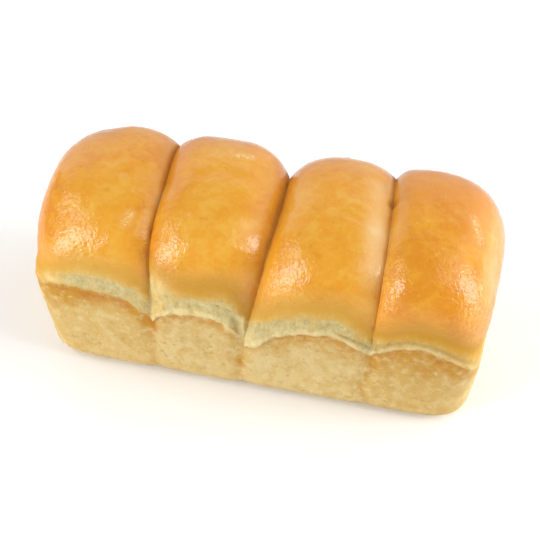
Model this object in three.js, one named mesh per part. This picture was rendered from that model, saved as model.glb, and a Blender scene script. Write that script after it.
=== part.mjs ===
import * as THREE from "three";
import { mergeVertices } from "three/addons/utils/BufferGeometryUtils.js";

// Pain de mie: a tin loaf made of four pieces of dough set side by side, risen over the tin's rim into four
// rounded lobes with seams between them. Millimetres, +X along the loaf, +Z up, the base on Z = 0.
// The whole loaf is one closed solid: the skin of a box grid is moved onto the loaf, level by level.

const { clamp, lerp, smoothstep } = THREE.MathUtils;

// The walls, which the tin pressed flat. Lengths are taken at the rim of the tin; the base is a little smaller.
const LEFT_END = -141.8;
const RIGHT_END = 140.5;
const HALF_WIDTH = 58;
const END_ZONE = 62;
const BASE_RADIUS = 11.5;
const BASE_INSET_LEFT = 5.4;
const BASE_INSET_RIGHT = 4;
const BASE_INSET_SIDE = 2.7;
const BASE_INSET_POWER = 1.4;

// How square the corners are in plan, at the base, at the lip and at the foot of the crown.
const BASE_PLAN_POWER = 5.3;
const LIP_PLAN_POWER = 7;
const FOOT_PLAN_POWER = 5.4;

// The ledge: where the dough rose over the rim a lip of soft crust stands out of the wall. It fades at the
// ends, and its strength runs along each of the four lobes.
const LIP_OUT = 2.6;
const LIP_SHARE_LEFT = 0.2;
const LIP_SHARE_RIGHT = 0.3;
const LIP_LEVELS = [-1.8, 0.4, 2.6, 4.2];
const LIP_SHARES = [0, 0.72, 1, 0.7];
const LIP_STRENGTH = [
  [0.3, 0.2, 0.15, 0.2, 0.35],
  [0.65, 1, 1, 0.7, 0],
  [1.3, 1, 0.85, 0.8, 0.4],
  [0.5, 0.75, 0.7, 0.5, 0.1],
];
const LEDGE_AT_SEAMS = [63.5, 55, 44.5, 57.5, 51.5];
const LEDGE_AT_CRESTS = [74.5, 70, 70, 75];
const LEDGE_POWER = 2.4;
const LEDGE_TRIM = [
  [0, -1.4, -3.2, -3.2, -2.3, 0, 0],
  [0, -2.2, -2.6, -2.1, -0.3, 0, 0],
  [0, -2.9, -2.1, -0.9, 0.2, -1.4, 0],
  [0, -2.8, -2.4, -3.2, -4.2, -6, -6],
];
const END_LEDGE_RISE = 9;

// The pale band over the lip, slightly hollow, where the skin tore as the loaf rose.
const BAND_HEIGHT = 16;
const BAND_DIP = 1.2;

// The crown: a superellipse across the loaf, bulging a little over the walls.
const CROWN_FOOT = 8;
const CROWN_RISE = 57;
const CROWN_POWER = 3.2;
const CROWN_BULGE_SIDE = 1.5;
const CROWN_BULGE_LEFT = 4.4;
const CROWN_BULGE_RIGHT = 4;
const BULGE_LEVELS_LEFT = [8, 56];
const BULGE_LEVELS_RIGHT = [0, 36];
const CROWN_PLAN_POWER_LEFT = 2.1;
const CROWN_PLAN_POWER_RIGHT = 3.4;
const RIDGE_AT_SEAMS = [126, 124, 127, 125.5, 122.5];
const RIDGE_AT_CRESTS = [126.3, 128.6, 126.6, 127.4];
const RIDGE_POWER = 2.6;

// The seams between the lobes, given round the girth: -1 and 1 are the front and the back edge of the base,
// -0.72 and 0.72 the ledge, 0 the ridge. A seam has its line, its depth, how far it reaches into the lobe on
// its left and on its right, and how sharp its crease is.
const GIRTH = [-1, -0.72, -0.4, 0, 0.4, 0.72, 1];
const LEDGE_GIRTH = 0.72;
const SHOULDER_GIRTH = 0.4;
const SEAMS = [
  {
    line: [-62, -62, -65, -67.5, -70, -66, -64],
    depth: [1.6, 3.4, 6.4, 8.2, 7, 4, 1.6],
    reach: [
      [27, 27, 28, 30, 33, 27, 27],
      [25, 25, 24, 21, 21, 22, 22],
    ],
    crease: 0.985,
  },
  {
    line: [-6, -3.5, 4.5, 5.2, 3.3, 1, -2],
    depth: [1.6, 4, 12, 16, 15.5, 4, 1.6],
    reach: [
      [36, 36, 36, 34, 31, 31, 31],
      [36, 36, 35, 32, 31, 31, 31],
    ],
    crease: 0.93,
  },
  {
    line: [72, 74.5, 76.5, 73.5, 69.5, 70, 71],
    depth: [1.6, 3.3, 6.5, 7.5, 6, 4, 1.6],
    reach: [
      [30, 30, 30, 28, 26, 28, 28],
      [18, 18, 17, 15, 12, 14, 14],
    ],
    crease: 0.92,
  },
];
const WALL_REACH = 9;
const SEAM_OPENING = 30;
const CREASE_LEVELS = [3, 24];
const SOFT_DEPTH = 0.62;

// The grid: four lobes along the loaf, columns gathered at the seams, levels from the base to the shoulder.
const LOBES = 4;
const LOBE_COLUMNS = 14;
const ROWS_ACROSS = 16;
const ARC_LEVELS = 3;
const WALL_LEVELS = 4;
const LIP_STEPS = 3;
const CROWN_LEVELS = 8;
const LEVELS = ARC_LEVELS + WALL_LEVELS + LIP_STEPS + CROWN_LEVELS;
const SEAM_GATHER = 0.8;
const SIDE_GATHER = 0.62;
const END_SHARE = 0.86;
const SHOULDER_SHARE = Math.cos(Math.PI / 4) ** (2 / CROWN_POWER);

// A smooth curve through values given at rising knots.
function curve(knots, values, at) {
  const last = knots.length - 1;
  const slope = (i) => {
    const before = Math.max(i - 1, 0);
    const after = Math.min(i + 1, last);
    return (values[after] - values[before]) / (knots[after] - knots[before]);
  };
  let i = 0;
  while (i < last - 1 && at > knots[i + 1]) i += 1;
  const span = knots[i + 1] - knots[i];
  const t = clamp((at - knots[i]) / span, 0, 1);
  const blend = t * t * (3 - 2 * t);
  const bend = t * (1 - t) * span;
  return lerp(values[i], values[i + 1], blend) + bend * ((1 - t) * slope(i) - t * slope(i + 1));
}

// A value of a table with one row of even knots a lobe; place runs from -1 to 1 across the lobe.
function alongLobe(table, lobe, place) {
  const values = table[lobe];
  const knots = values.map((_, i) => -1 + (2 * i) / (values.length - 1));
  return curve(knots, values, place);
}

// A height that rises from seam to seam in one arc a lobe.
function arcHeight(atSeams, atCrests, power, lobe, place) {
  const chord = lerp(atSeams[lobe], atSeams[lobe + 1], (1 + place) / 2);
  const middle = (atSeams[lobe] + atSeams[lobe + 1]) / 2;
  return chord + (atCrests[lobe] - middle) * (1 - Math.abs(place) ** power);
}

// A level of the skin below the crown. inward: how far inside the half-width; lipShare: part of the lip;
// climb: 0 at the foot of the wall to 1 at its top; lift: height over the ledge; normal: the skin's slope
// seen across the loaf.
function wallLevel(climb, { height = null, inward = 0, lipShare = 0, lift = null, normal = [1, 0] }) {
  return {
    share: 1,
    inward,
    lipShare,
    inset: (1 - climb) ** BASE_INSET_POWER,
    height,
    climb,
    lift,
    rise: null,
    normal: new THREE.Vector2(...normal),
    girth: lerp(1, LEDGE_GIRTH, climb),
  };
}

// A level of the crown. rise: part of the crown's height; share: part of the full half-width.
function crownLevel(rise, share) {
  const lift = CROWN_FOOT + CROWN_RISE * rise;
  const band = clamp((lift - LIP_LEVELS[3]) / BAND_HEIGHT, 0, 1);
  const climbed = clamp((lift - LIP_LEVELS[3]) / (0.85 * CROWN_RISE), 0, 1);
  const normal = new THREE.Vector2(
    share ** (CROWN_POWER - 1) / HALF_WIDTH,
    Math.max(rise, 0) ** (CROWN_POWER - 1) / CROWN_RISE,
  ).normalize();
  return {
    share,
    inward: BAND_DIP * Math.sin(Math.PI * band) ** 2,
    lipShare: LIP_SHARES[3] * (1 - smoothstep(band, 0, 1)),
    inset: 0,
    climb: 1,
    lift,
    rise,
    normal,
    girth: lerp(LEDGE_GIRTH, SHOULDER_GIRTH, climbed),
  };
}

// The level of one row of the grid's side, counted from the base.
function sideLevel(row) {
  if (row < ARC_LEVELS) {
    const turn = (row / ARC_LEVELS) * (Math.PI / 2);
    const height = BASE_RADIUS * (1 - Math.cos(turn));
    const inward = BASE_RADIUS * (1 - Math.sin(turn));
    return wallLevel(0, { height, inward, normal: [Math.sin(turn), -Math.cos(turn)] });
  }
  row -= ARC_LEVELS;
  if (row < WALL_LEVELS) return wallLevel(row / WALL_LEVELS, {});
  row -= WALL_LEVELS;
  if (row < LIP_STEPS) return wallLevel(1, { lipShare: LIP_SHARES[row], lift: LIP_LEVELS[row] });
  row -= LIP_STEPS;
  const foot = -(CROWN_FOOT - LIP_LEVELS[3]) / CROWN_RISE;
  const rise = lerp(foot, SHOULDER_SHARE, row / CROWN_LEVELS);
  const share = (1 - Math.max(rise, 0) ** CROWN_POWER) ** (1 / CROWN_POWER);
  return crownLevel(rise, share);
}

// The level inside the shoulder, where the top of the grid closes over the ridge; q falls from 1 to 0.
function topLevel(q) {
  const share = SHOULDER_SHARE * q;
  return crownLevel((1 - share ** CROWN_POWER) ** (1 / CROWN_POWER), share);
}

// Where a grid column stands: 0 to 4 along the lobes, closer together at the seams.
function gatheredColumn(along) {
  const lobe = Math.min(Math.floor(along), LOBES - 1);
  const f = along - lobe;
  const near = (g) => g - (SEAM_GATHER * Math.sin(Math.PI * g)) / Math.PI;
  if (lobe === 0) return 1 - near(1 - f);
  if (lobe === LOBES - 1) return lobe + near(f);
  return lobe + f - (SEAM_GATHER * Math.sin(2 * Math.PI * f)) / (2 * Math.PI);
}

function gatheredRow(across) {
  const quarter = (Math.PI / 2) * SIDE_GATHER;
  return Math.sin(across * quarter) / Math.sin(quarter);
}

// How deep the seams cut in at a place on the skin: a soft trough at the ledge, a sharp crease on the crown.
function seamCut(x, seamXs, girth, level, lift) {
  const opened = level.rise === null ? 0 : smoothstep(level.lift, 0, SEAM_OPENING);
  const creased = smoothstep(lift, ...CREASE_LEVELS);
  return SEAMS.reduce((sum, seam, i) => {
    const away = x - seamXs[i];
    const topReach = curve(GIRTH, seam.reach[away < 0 ? 0 : 1], girth);
    const near = 1 - clamp(Math.abs(away) / lerp(WALL_REACH, topReach, opened), 0, 1);
    const sharp = (1 - Math.sqrt(1 - (seam.crease * near) ** 2)) / (1 - Math.sqrt(1 - seam.crease ** 2));
    const soft = SOFT_DEPTH * smoothstep(near, 0, 1);
    return sum + curve(GIRTH, seam.depth, girth) * lerp(soft, sharp, creased);
  }, 0);
}

// How a grid point stands in the plan: its lobe, its side, and how far it lies in the rounded end.
function planPlace(along, across) {
  const lobe = Math.min(Math.floor(along), LOBES - 1);
  const f = along - lobe;
  let toEnd = -1;
  let stretch = f;
  if (lobe === 0) {
    toEnd = 1 - f / END_SHARE;
    stretch = (f - END_SHARE) / (1 - END_SHARE);
  }
  if (lobe === LOBES - 1) {
    toEnd = 1 - (1 - f) / END_SHARE;
    stretch = f / (1 - END_SHARE);
  }
  const ring = Math.max(Math.abs(across), toEnd, 1e-6);
  return {
    lobe,
    left: along < LOBES / 2,
    toEnd,
    ring,
    endPart: Math.max(toEnd, 0) / ring,
    sidePart: Math.abs(across) / ring,
    side: Math.sign(across),
    stretch: clamp(stretch, 0, 1),
  };
}

// The lip, the half-width, the end zone's depth and the corner power of the plan at a level.
function planSizes(level, { left, toEnd }) {
  const overLip = level.rise === null ? 0 : level.lift - LIP_LEVELS[3];
  const up = level.lift === null ? 0 : level.lift / (CROWN_FOOT + CROWN_RISE);
  const lipAtEnd = left ? LIP_SHARE_LEFT : LIP_SHARE_RIGHT;
  const proud = LIP_OUT * lerp(1, lipAtEnd, smoothstep(toEnd, 0.5, 1)) * level.lipShare;
  const out = proud - level.inward;
  const sideBulge = CROWN_BULGE_SIDE * smoothstep(overLip, 0, BAND_HEIGHT);
  const bulge = left ? CROWN_BULGE_LEFT : CROWN_BULGE_RIGHT;
  const endBulge = bulge * smoothstep(overLip, ...(left ? BULGE_LEVELS_LEFT : BULGE_LEVELS_RIGHT));
  const endInset = left ? BASE_INSET_LEFT : BASE_INSET_RIGHT;
  const crownPower = left ? CROWN_PLAN_POWER_LEFT : CROWN_PLAN_POWER_RIGHT;
  const wallPower = lerp(BASE_PLAN_POWER, LIP_PLAN_POWER, level.climb);
  const footPower = lerp(wallPower, FOOT_PLAN_POWER, smoothstep(overLip, 0, BAND_HEIGHT));
  return {
    proud,
    half: (HALF_WIDTH + sideBulge) * level.share + out - BASE_INSET_SIDE * level.inset,
    depth: (END_ZONE + endBulge) * level.share + out - endInset * level.inset,
    power: lerp(footPower, crownPower, smoothstep(up * 1.15, 0, 1)),
  };
}

// The height of the ledge at a place in its lobe; each end's ledge rises in an arc of its own.
function ledgeHeight(lobe, place, x, y) {
  const endness = smoothstep(Math.abs(x), RIGHT_END - END_ZONE, RIGHT_END);
  const endArc = END_LEDGE_RISE * endness * (1 - Math.min(Math.abs(y) / HALF_WIDTH, 1) ** LEDGE_POWER);
  const arc = arcHeight(LEDGE_AT_SEAMS, LEDGE_AT_CRESTS, LEDGE_POWER, lobe, place);
  return arc + endArc + alongLobe(LEDGE_TRIM, lobe, place);
}

// The height of a level over a ledge.
function levelHeight(level, ledge, lobe, place) {
  if (level.rise !== null) {
    const foot = ledge + CROWN_FOOT;
    const ridge = arcHeight(RIDGE_AT_SEAMS, RIDGE_AT_CRESTS, RIDGE_POWER, lobe, place);
    return foot + level.rise * (level.rise < 0 ? CROWN_RISE : ridge - foot);
  }
  if (level.lift !== null) return ledge + level.lift;
  if (level.height !== null) return level.height;
  return lerp(BASE_RADIUS, ledge + LIP_LEVELS[0], level.climb);
}

// The place on the loaf of a grid point: along 0..4, across -1..1, row 0..LEVELS.
function skinPoint(along, across, row) {
  const plan = planPlace(along, across);
  const onBase = row === 0;
  const level = row === LEVELS ? topLevel(plan.ring) : sideLevel(row);
  const sizes = planSizes(level, plan);
  const girth = level.girth * across;
  const seamXs = SEAMS.map(({ line }) =>
    onBase ? lerp(line[0], line.at(-1), (1 + across) / 2) : curve(GIRTH, line, girth),
  );

  const shrink = onBase ? plan.ring : 1;
  const stops = [LEFT_END + END_ZONE, ...seamXs, RIGHT_END - END_ZONE];
  const outward = plan.left ? -1 : 1;
  let x = lerp(stops[plan.lobe], stops[plan.lobe + 1], plan.stretch);
  let y = plan.side * sizes.half * shrink;
  let facing = new THREE.Vector2(0, plan.side);
  if (plan.toEnd > 0) {
    const { endPart, sidePart } = plan;
    const pull = (endPart ** sizes.power + sidePart ** sizes.power) ** (-1 / sizes.power) * shrink;
    x = stops[plan.left ? 0 : LOBES] + outward * pull * endPart * sizes.depth;
    y = plan.side * pull * sidePart * sizes.half;
    facing = new THREE.Vector2(
      outward * endPart ** (sizes.power - 1),
      plan.side * sidePart ** (sizes.power - 1),
    ).normalize();
  }
  if (onBase) return new THREE.Vector3(x, y, 0);

  const [from, to] = [LEFT_END, ...seamXs, RIGHT_END].slice(plan.lobe, plan.lobe + 2);
  const place = clamp((2 * x - from - to) / (to - from), -1, 1);
  const ledge = ledgeHeight(plan.lobe, place, x, y);
  const z = levelHeight(level, ledge, plan.lobe, place);
  const cut = seamCut(x, seamXs, girth, level, z - ledge);
  const back = level.normal.x * cut + sizes.proud * (1 - alongLobe(LIP_STRENGTH, plan.lobe, place));
  return new THREE.Vector3(
    x - facing.x * back,
    y - facing.y * back,
    Math.max(z - level.normal.y * cut, 0),
  );
}

function buildLoaf() {
  const columns = LOBES * LOBE_COLUMNS;
  const grid = new THREE.BoxGeometry(LOBES, 2, LEVELS, columns, ROWS_ACROSS, LEVELS);
  grid.deleteAttribute("normal");
  grid.deleteAttribute("uv");
  const skin = grid.getAttribute("position");
  for (let i = 0; i < skin.count; i++) {
    const along = gatheredColumn(clamp(skin.getX(i) + LOBES / 2, 0, LOBES));
    const across = gatheredRow(clamp(skin.getY(i), -1, 1));
    const row = Math.round(skin.getZ(i) + LEVELS / 2);
    skin.setXYZ(i, ...skinPoint(along, across, row));
  }
  const loaf = mergeVertices(grid, 1e-3);
  loaf.computeBoundingBox();
  const middle = loaf.boundingBox.getCenter(new THREE.Vector3());
  loaf.translate(-middle.x, -middle.y, 0);
  loaf.computeVertexNormals();
  return loaf;
}

const crust = new THREE.MeshStandardMaterial({ color: 0xdd9a45, roughness: 0.45 });
const loaf = new THREE.Mesh(buildLoaf(), crust);
loaf.name = "loaf";

const group = new THREE.Group();
group.name = "pain_de_mie";
group.add(loaf);

export default group;
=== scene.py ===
"""Dresses the pain de mie: a tin loaf of four risen lobes, with its crust, pale torn band, lip and walls."""
import logging
import math
from dataclasses import dataclass, field
from enum import Enum

import bpy
import numpy as np
from mathutils import Matrix, Vector, noise


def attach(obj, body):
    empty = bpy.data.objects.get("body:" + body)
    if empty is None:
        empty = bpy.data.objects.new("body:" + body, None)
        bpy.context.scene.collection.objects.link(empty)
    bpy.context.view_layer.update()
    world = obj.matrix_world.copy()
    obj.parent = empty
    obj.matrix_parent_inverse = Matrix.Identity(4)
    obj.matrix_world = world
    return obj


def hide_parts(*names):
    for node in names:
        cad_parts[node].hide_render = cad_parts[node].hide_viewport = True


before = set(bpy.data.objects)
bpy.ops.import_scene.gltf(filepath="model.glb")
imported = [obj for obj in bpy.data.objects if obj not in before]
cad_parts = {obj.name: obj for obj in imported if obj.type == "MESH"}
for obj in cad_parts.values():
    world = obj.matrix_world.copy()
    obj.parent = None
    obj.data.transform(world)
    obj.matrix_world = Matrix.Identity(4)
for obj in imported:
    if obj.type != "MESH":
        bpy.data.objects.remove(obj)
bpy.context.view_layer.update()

log = logging.getLogger("pain_de_mie")

MM = 0.001
MM_A_METRE = 1000
TINY = 1e-9
# A height under every point of the loaf and a distance past all of it, in millimetres
FAR_BELOW = -50.0
FAR_AWAY = 999.0
Colour = tuple[float, float, float]
Knots = tuple[float, ...]
Place = tuple[float, float, float]
Span = tuple[float, float]


def smoothstep(value: np.ndarray, low: float, high: float) -> np.ndarray:
    """Rises from 0 at low to 1 at high along a smooth S.

    Args:
        value: numbers to place on the step.
        low: where the step starts.
        high: where it ends.

    Returns:
        The step's height at each number, from 0 to 1.
    """
    t = np.clip((value - low) / (high - low), 0.0, 1.0)
    return t * t * (3.0 - 2.0 * t)


def bell(value: np.ndarray, middle: float, width: float) -> np.ndarray:
    """A soft hump of height 1 round a middle value."""
    return np.exp(-(((value - middle) / width) ** 2))


def lerp(a: np.ndarray, b: np.ndarray, t: np.ndarray) -> np.ndarray:
    """The value a share t of the way from a to b."""
    return a + (b - a) * t


def curve(knots: Knots, values: Knots, at: np.ndarray) -> np.ndarray:
    """A smooth curve through values given at rising knots.

    Args:
        knots: where the values are given.
        values: the value at each knot.
        at: where the curve is read.

    Returns:
        The curve's value at each place.
    """
    k, v = np.asarray(knots, float), np.asarray(values, float)
    last = len(k) - 1
    slopes = np.array([
        (v[min(i + 1, last)] - v[max(i - 1, 0)]) / (k[min(i + 1, last)] - k[max(i - 1, 0)])
        for i in range(last + 1)
    ])
    i = np.clip(np.searchsorted(k, at, side="left") - 1, 0, last - 1)
    span = k[i + 1] - k[i]
    t = np.clip((at - k[i]) / span, 0.0, 1.0)
    bend = t * (1.0 - t) * span
    return lerp(v[i], v[i + 1], t * t * (3.0 - 2.0 * t)) + bend * ((1.0 - t) * slopes[i] - t * slopes[i + 1])


def read_by_lobe(rows: tuple[Knots, ...], lobe: np.ndarray, at: np.ndarray) -> np.ndarray:
    """Reads a table of even knots along each lobe.

    Args:
        rows: one row of values a lobe.
        lobe: the number of each point's lobe.
        at: the place in the lobe, -1 to 1.

    Returns:
        The table's value at each point.
    """
    read = np.zeros(lobe.shape)
    for number, values in enumerate(rows):
        here = lobe == number
        read[here] = curve(tuple(np.linspace(-1, 1, len(values))), values, at[here])
    return read


@dataclass(frozen=True)
class Grain:
    """Smooth seeded noise: the size of its features in millimetres, its seed, its height and its stretch."""

    size: float
    seed: int
    height: float = 1.0
    scale: Place = (1.0, 1.0, 1.0)
    finer_layers: int = 3
    shift: Place = (7.31, 3.17, 5.23)

    def at(self, points: np.ndarray) -> np.ndarray:
        """Reads the noise.

        Args:
            points: places in millimetres, one row each.

        Returns:
            The noise at each point, about as high and as low as the grain's height.
        """
        shift = Vector([self.seed * each for each in self.shift])
        scaled = points * np.array(self.scale) / self.size
        layers = self.finer_layers
        return self.height * np.array([noise.fractal(Vector(p) + shift, 1.0, 2.0, layers) for p in scaled])


def pile(grains: tuple[Grain, ...], points: np.ndarray) -> np.ndarray:
    """The height that some grains reach together at each point."""
    return sum(each.at(points) for each in grains)


class Zone(Enum):
    """The four kinds of level round the loaf's side."""

    BASE = 0
    WALL = 1
    LIP = 2
    CROWN = 3


@dataclass(frozen=True)
class Seam:
    """One seam between two lobes.

    Its line, depth, darkness and its reach into each lobe run round the girth; its darkness is brown crust
    and painted shade in the crease. Its crease is how sharp it is, and its brown_shade is how far that brown
    and painted shade go into each lobe. Down the wall it wanders and is stained.
    """

    line: Knots
    depth: Knots
    dark: Knots
    reach_left: Knots
    reach_right: Knots
    crease: float
    brown_shade: Span
    wander: Knots
    stain: Knots


@dataclass(frozen=True)
class Mark:
    """A small mark on the skin, a spot or a streak that runs on to another place.

    It dips or stands out, and has its share of brown colour with painted shade, of pale colour with painted
    highlight, of olive painted shade, of toasted colour or of crinkled glaze.
    """

    place: Place
    radius: float
    to: Place | None = None
    dip: float = 0.0
    brown: float = 0.0
    pale: float = 0.0
    olive: float = 0.0
    toast: float = 0.0
    crinkle: float = 0.0


@dataclass(frozen=True)
class LoafSizes:
    """The loaf's sizes in millimetres, as the solid has them."""

    left_end: float = -141.8
    right_end: float = 140.5
    half_width: float = 58.0
    end_zone: float = 62.0
    base_radius: float = 11.5
    base_inset_left: float = 5.4
    base_inset_right: float = 4.0
    base_inset_side: float = 2.7
    base_inset_power: float = 1.4
    base_plan_power: float = 5.3
    lip_plan_power: float = 7.0
    foot_plan_power: float = 5.4
    lip_out: float = 2.6
    lip_share_left: float = 0.2
    lip_share_right: float = 0.3
    lip_fade: Span = (0.5, 1.0)
    lip_levels: Knots = (-1.8, 0.4, 2.6, 4.2)
    lip_shares: Knots = (0.0, 0.72, 1.0, 0.7)
    lip_strength: tuple[Knots, ...] = (
        (0.3, 0.2, 0.15, 0.2, 0.35),
        (0.65, 1.0, 1.0, 0.7, 0.0),
        (1.3, 1.0, 0.85, 0.8, 0.4),
        (0.5, 0.75, 0.7, 0.5, 0.1),
    )
    ledge_at_seams: Knots = (63.5, 55.0, 44.5, 57.5, 51.5)
    ledge_at_crests: Knots = (74.5, 70.0, 70.0, 75.0)
    ledge_power: float = 2.4
    ledge_trim: tuple[Knots, ...] = (
        (0.0, -1.4, -3.2, -3.2, -2.3, 0.0, 0.0),
        (0.0, -2.2, -2.6, -2.1, -0.3, 0.0, 0.0),
        (0.0, -2.9, -2.1, -0.9, 0.2, -1.4, 0.0),
        (0.0, -2.8, -2.4, -3.2, -4.2, -6.0, -6.0),
    )
    end_ledge_rise: float = 9.0
    band_height: float = 16.0
    band_dip: float = 1.2
    crown_foot: float = 8.0
    crown_rise: float = 57.0
    crown_power: float = 3.2
    crown_bulge_side: float = 1.5
    crown_bulge_left: float = 4.4
    crown_bulge_right: float = 4.0
    bulge_levels_left: Knots = (8.0, 56.0)
    bulge_levels_right: Knots = (0.0, 36.0)
    crown_plan_power_left: float = 2.1
    crown_plan_power_right: float = 3.4
    crown_plan_rate: float = 1.15
    ridge_at_seams: Knots = (126.0, 124.0, 127.0, 125.5, 122.5)
    ridge_at_crests: Knots = (126.3, 128.6, 126.6, 127.4)
    ridge_power: float = 2.6
    girth: Knots = (-1.0, -0.72, -0.4, 0.0, 0.4, 0.72, 1.0)
    ledge_girth: float = 0.72
    shoulder_girth: float = 0.4
    shoulder_share: float = 0.85
    wall_girth: Knots = (-1.0, -0.96, -0.92, -0.88, -0.84, -0.80, -0.76, -0.72)
    seams: tuple[Seam, ...] = (
        Seam(
            line=(-62, -62, -65, -67.5, -70, -66, -64),
            depth=(1.6, 3.4, 6.4, 8.2, 7, 4, 1.6),
            dark=(0, 0, 0.25, 0.35, 0.75, 0.5, 0),
            reach_left=(27, 27, 28, 30, 33, 27, 27),
            reach_right=(25, 25, 24, 21, 21, 22, 22),
            crease=0.985,
            brown_shade=(1.5, 1.5),
            wander=(0.0, -0.6, -1.0, -1.6, -2.0, -2.0, -1.6, 0.0),
            stain=(0.3, 0.1, 0.05, 0.1, 0.3, 0.7, 1.0, 1.0),
        ),
        Seam(
            line=(-6, -3.5, 4.5, 5.2, 3.3, 1, -2),
            depth=(1.6, 4, 12, 16, 15.5, 4, 1.6),
            dark=(0, 0, 0.4, 0.3, 0.3, 0.4, 0),
            reach_left=(36, 36, 36, 34, 31, 31, 31),
            reach_right=(36, 36, 35, 32, 31, 31, 31),
            crease=0.93,
            brown_shade=(14, 3),
            wander=(0.0, -1.6, -1.2, -2.4, -2.6, -1.4, -1.6, 0.0),
            stain=(0.1, 0.15, 0.4, 0.9, 0.9, 0.3, 0.2, 0.2),
        ),
        Seam(
            line=(72, 74.5, 76.5, 73.5, 69.5, 70, 71),
            depth=(1.6, 3.3, 6.5, 7.5, 6, 4, 1.6),
            dark=(0, 0, 0.1, 0.2, 0.5, 0.4, 0),
            reach_left=(30, 30, 30, 28, 26, 28, 28),
            reach_right=(18, 18, 17, 15, 12, 14, 14),
            crease=0.92,
            brown_shade=(3, 2.5),
            wander=(-0.6, -1.6, -3.8, -1.8, 0.4, 1.0, -0.4, 0.0),
            stain=(0.1, 0.2, 0.3, 0.3, 0.3, 0.3, 0.4, 0.5),
        ),
    )
    wall_reach: float = 9.0
    seam_opening: float = 30.0
    crease_levels: Span = (3.0, 24.0)
    soft_depth: float = 0.62
    end_share: float = 0.86
    lobes: int = 4


@dataclass(frozen=True)
class GridSizes:
    """How finely the skin's grid is divided."""

    lobe_columns: int = 62
    rows_across: int = 62
    base_levels: int = 8
    wall_levels: int = 34
    lip_levels: int = 12
    crown_levels: int = 44
    seam_gather: float = 0.5
    side_gather: float = 0.62
    weld: float = 1e-4

    @property
    def levels(self) -> int:
        """All levels from the base to the shoulder."""
        return self.base_levels + self.wall_levels + self.lip_levels + self.crown_levels


@dataclass
class Skin:
    """The skin's points, one entry each: their places in millimetres and where they lie on the loaf."""

    place: np.ndarray
    lobe: np.ndarray
    across_lobe: np.ndarray
    lift: np.ndarray
    girth: np.ndarray
    seam_gap: np.ndarray
    seam: np.ndarray
    seam_share: np.ndarray
    seam_brown_shade: np.ndarray
    zone: np.ndarray

    def by_lobe(self, rows: tuple[Knots, ...]) -> np.ndarray:
        """Reads a table of even knots along each lobe at the points."""
        return read_by_lobe(rows, self.lobe, self.across_lobe)


def by_zone(zone: np.ndarray, base: object, wall: object, lip: object, crown: object) -> np.ndarray:
    """Picks each point's number by the kind of level that it lies on.

    Args:
        zone: the kind of level of each point, as a Zone's value.
        base: the number or numbers on the rounded edge of the base.
        wall: those on the wall.
        lip: those on the lip.
        crown: those on the crown.

    Returns:
        One number a point.
    """
    kinds = [zone == kind.value for kind in (Zone.BASE, Zone.WALL, Zone.LIP)]
    return np.select(kinds, [base, wall, lip], crown)


@dataclass
class GridSpot:
    """Where each grid point lies in plan, before it is moved onto the loaf.

    stretch is its share of the way between the seams, to_end its share of the way into an end, and ring its
    share of the way from the middle of the top or the base to the rim. The ring's share has a part toward the
    end and a part toward the side.
    """

    lobe: np.ndarray
    left: np.ndarray
    across: np.ndarray
    stretch: np.ndarray
    to_end: np.ndarray
    in_end: np.ndarray
    ring: np.ndarray
    end_part: np.ndarray
    side_part: np.ndarray
    on_base: np.ndarray
    on_top: np.ndarray


@dataclass
class Level:
    """The level of each point: its kind, how far it has turned or climbed, how it stands out and faces.

    proud is how far the lip makes it stand out, and out is all that stands out or goes in. share is how much
    of the half sizes is left in the crown, and inset how much of the base's narrowing it has.
    """

    zone: np.ndarray
    turn: np.ndarray
    climb: np.ndarray
    rise: np.ndarray
    share: np.ndarray
    lip_lift: np.ndarray
    lift: np.ndarray
    over_lip: np.ndarray
    proud: np.ndarray
    out: np.ndarray
    inset: np.ndarray
    facing_out: np.ndarray
    facing_up: np.ndarray


@dataclass
class SeamCut:
    """What the seams do at each point.

    They cut to a depth and darken the crust by brown_shade, brown and painted shade in the crease. share is
    how far the point is into the closest seam's reach, gap how far it is from the nearest seam's line, and
    nearest that seam's number.
    """

    depth: np.ndarray
    share: np.ndarray
    brown_shade: np.ndarray
    gap: np.ndarray
    nearest: np.ndarray


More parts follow.
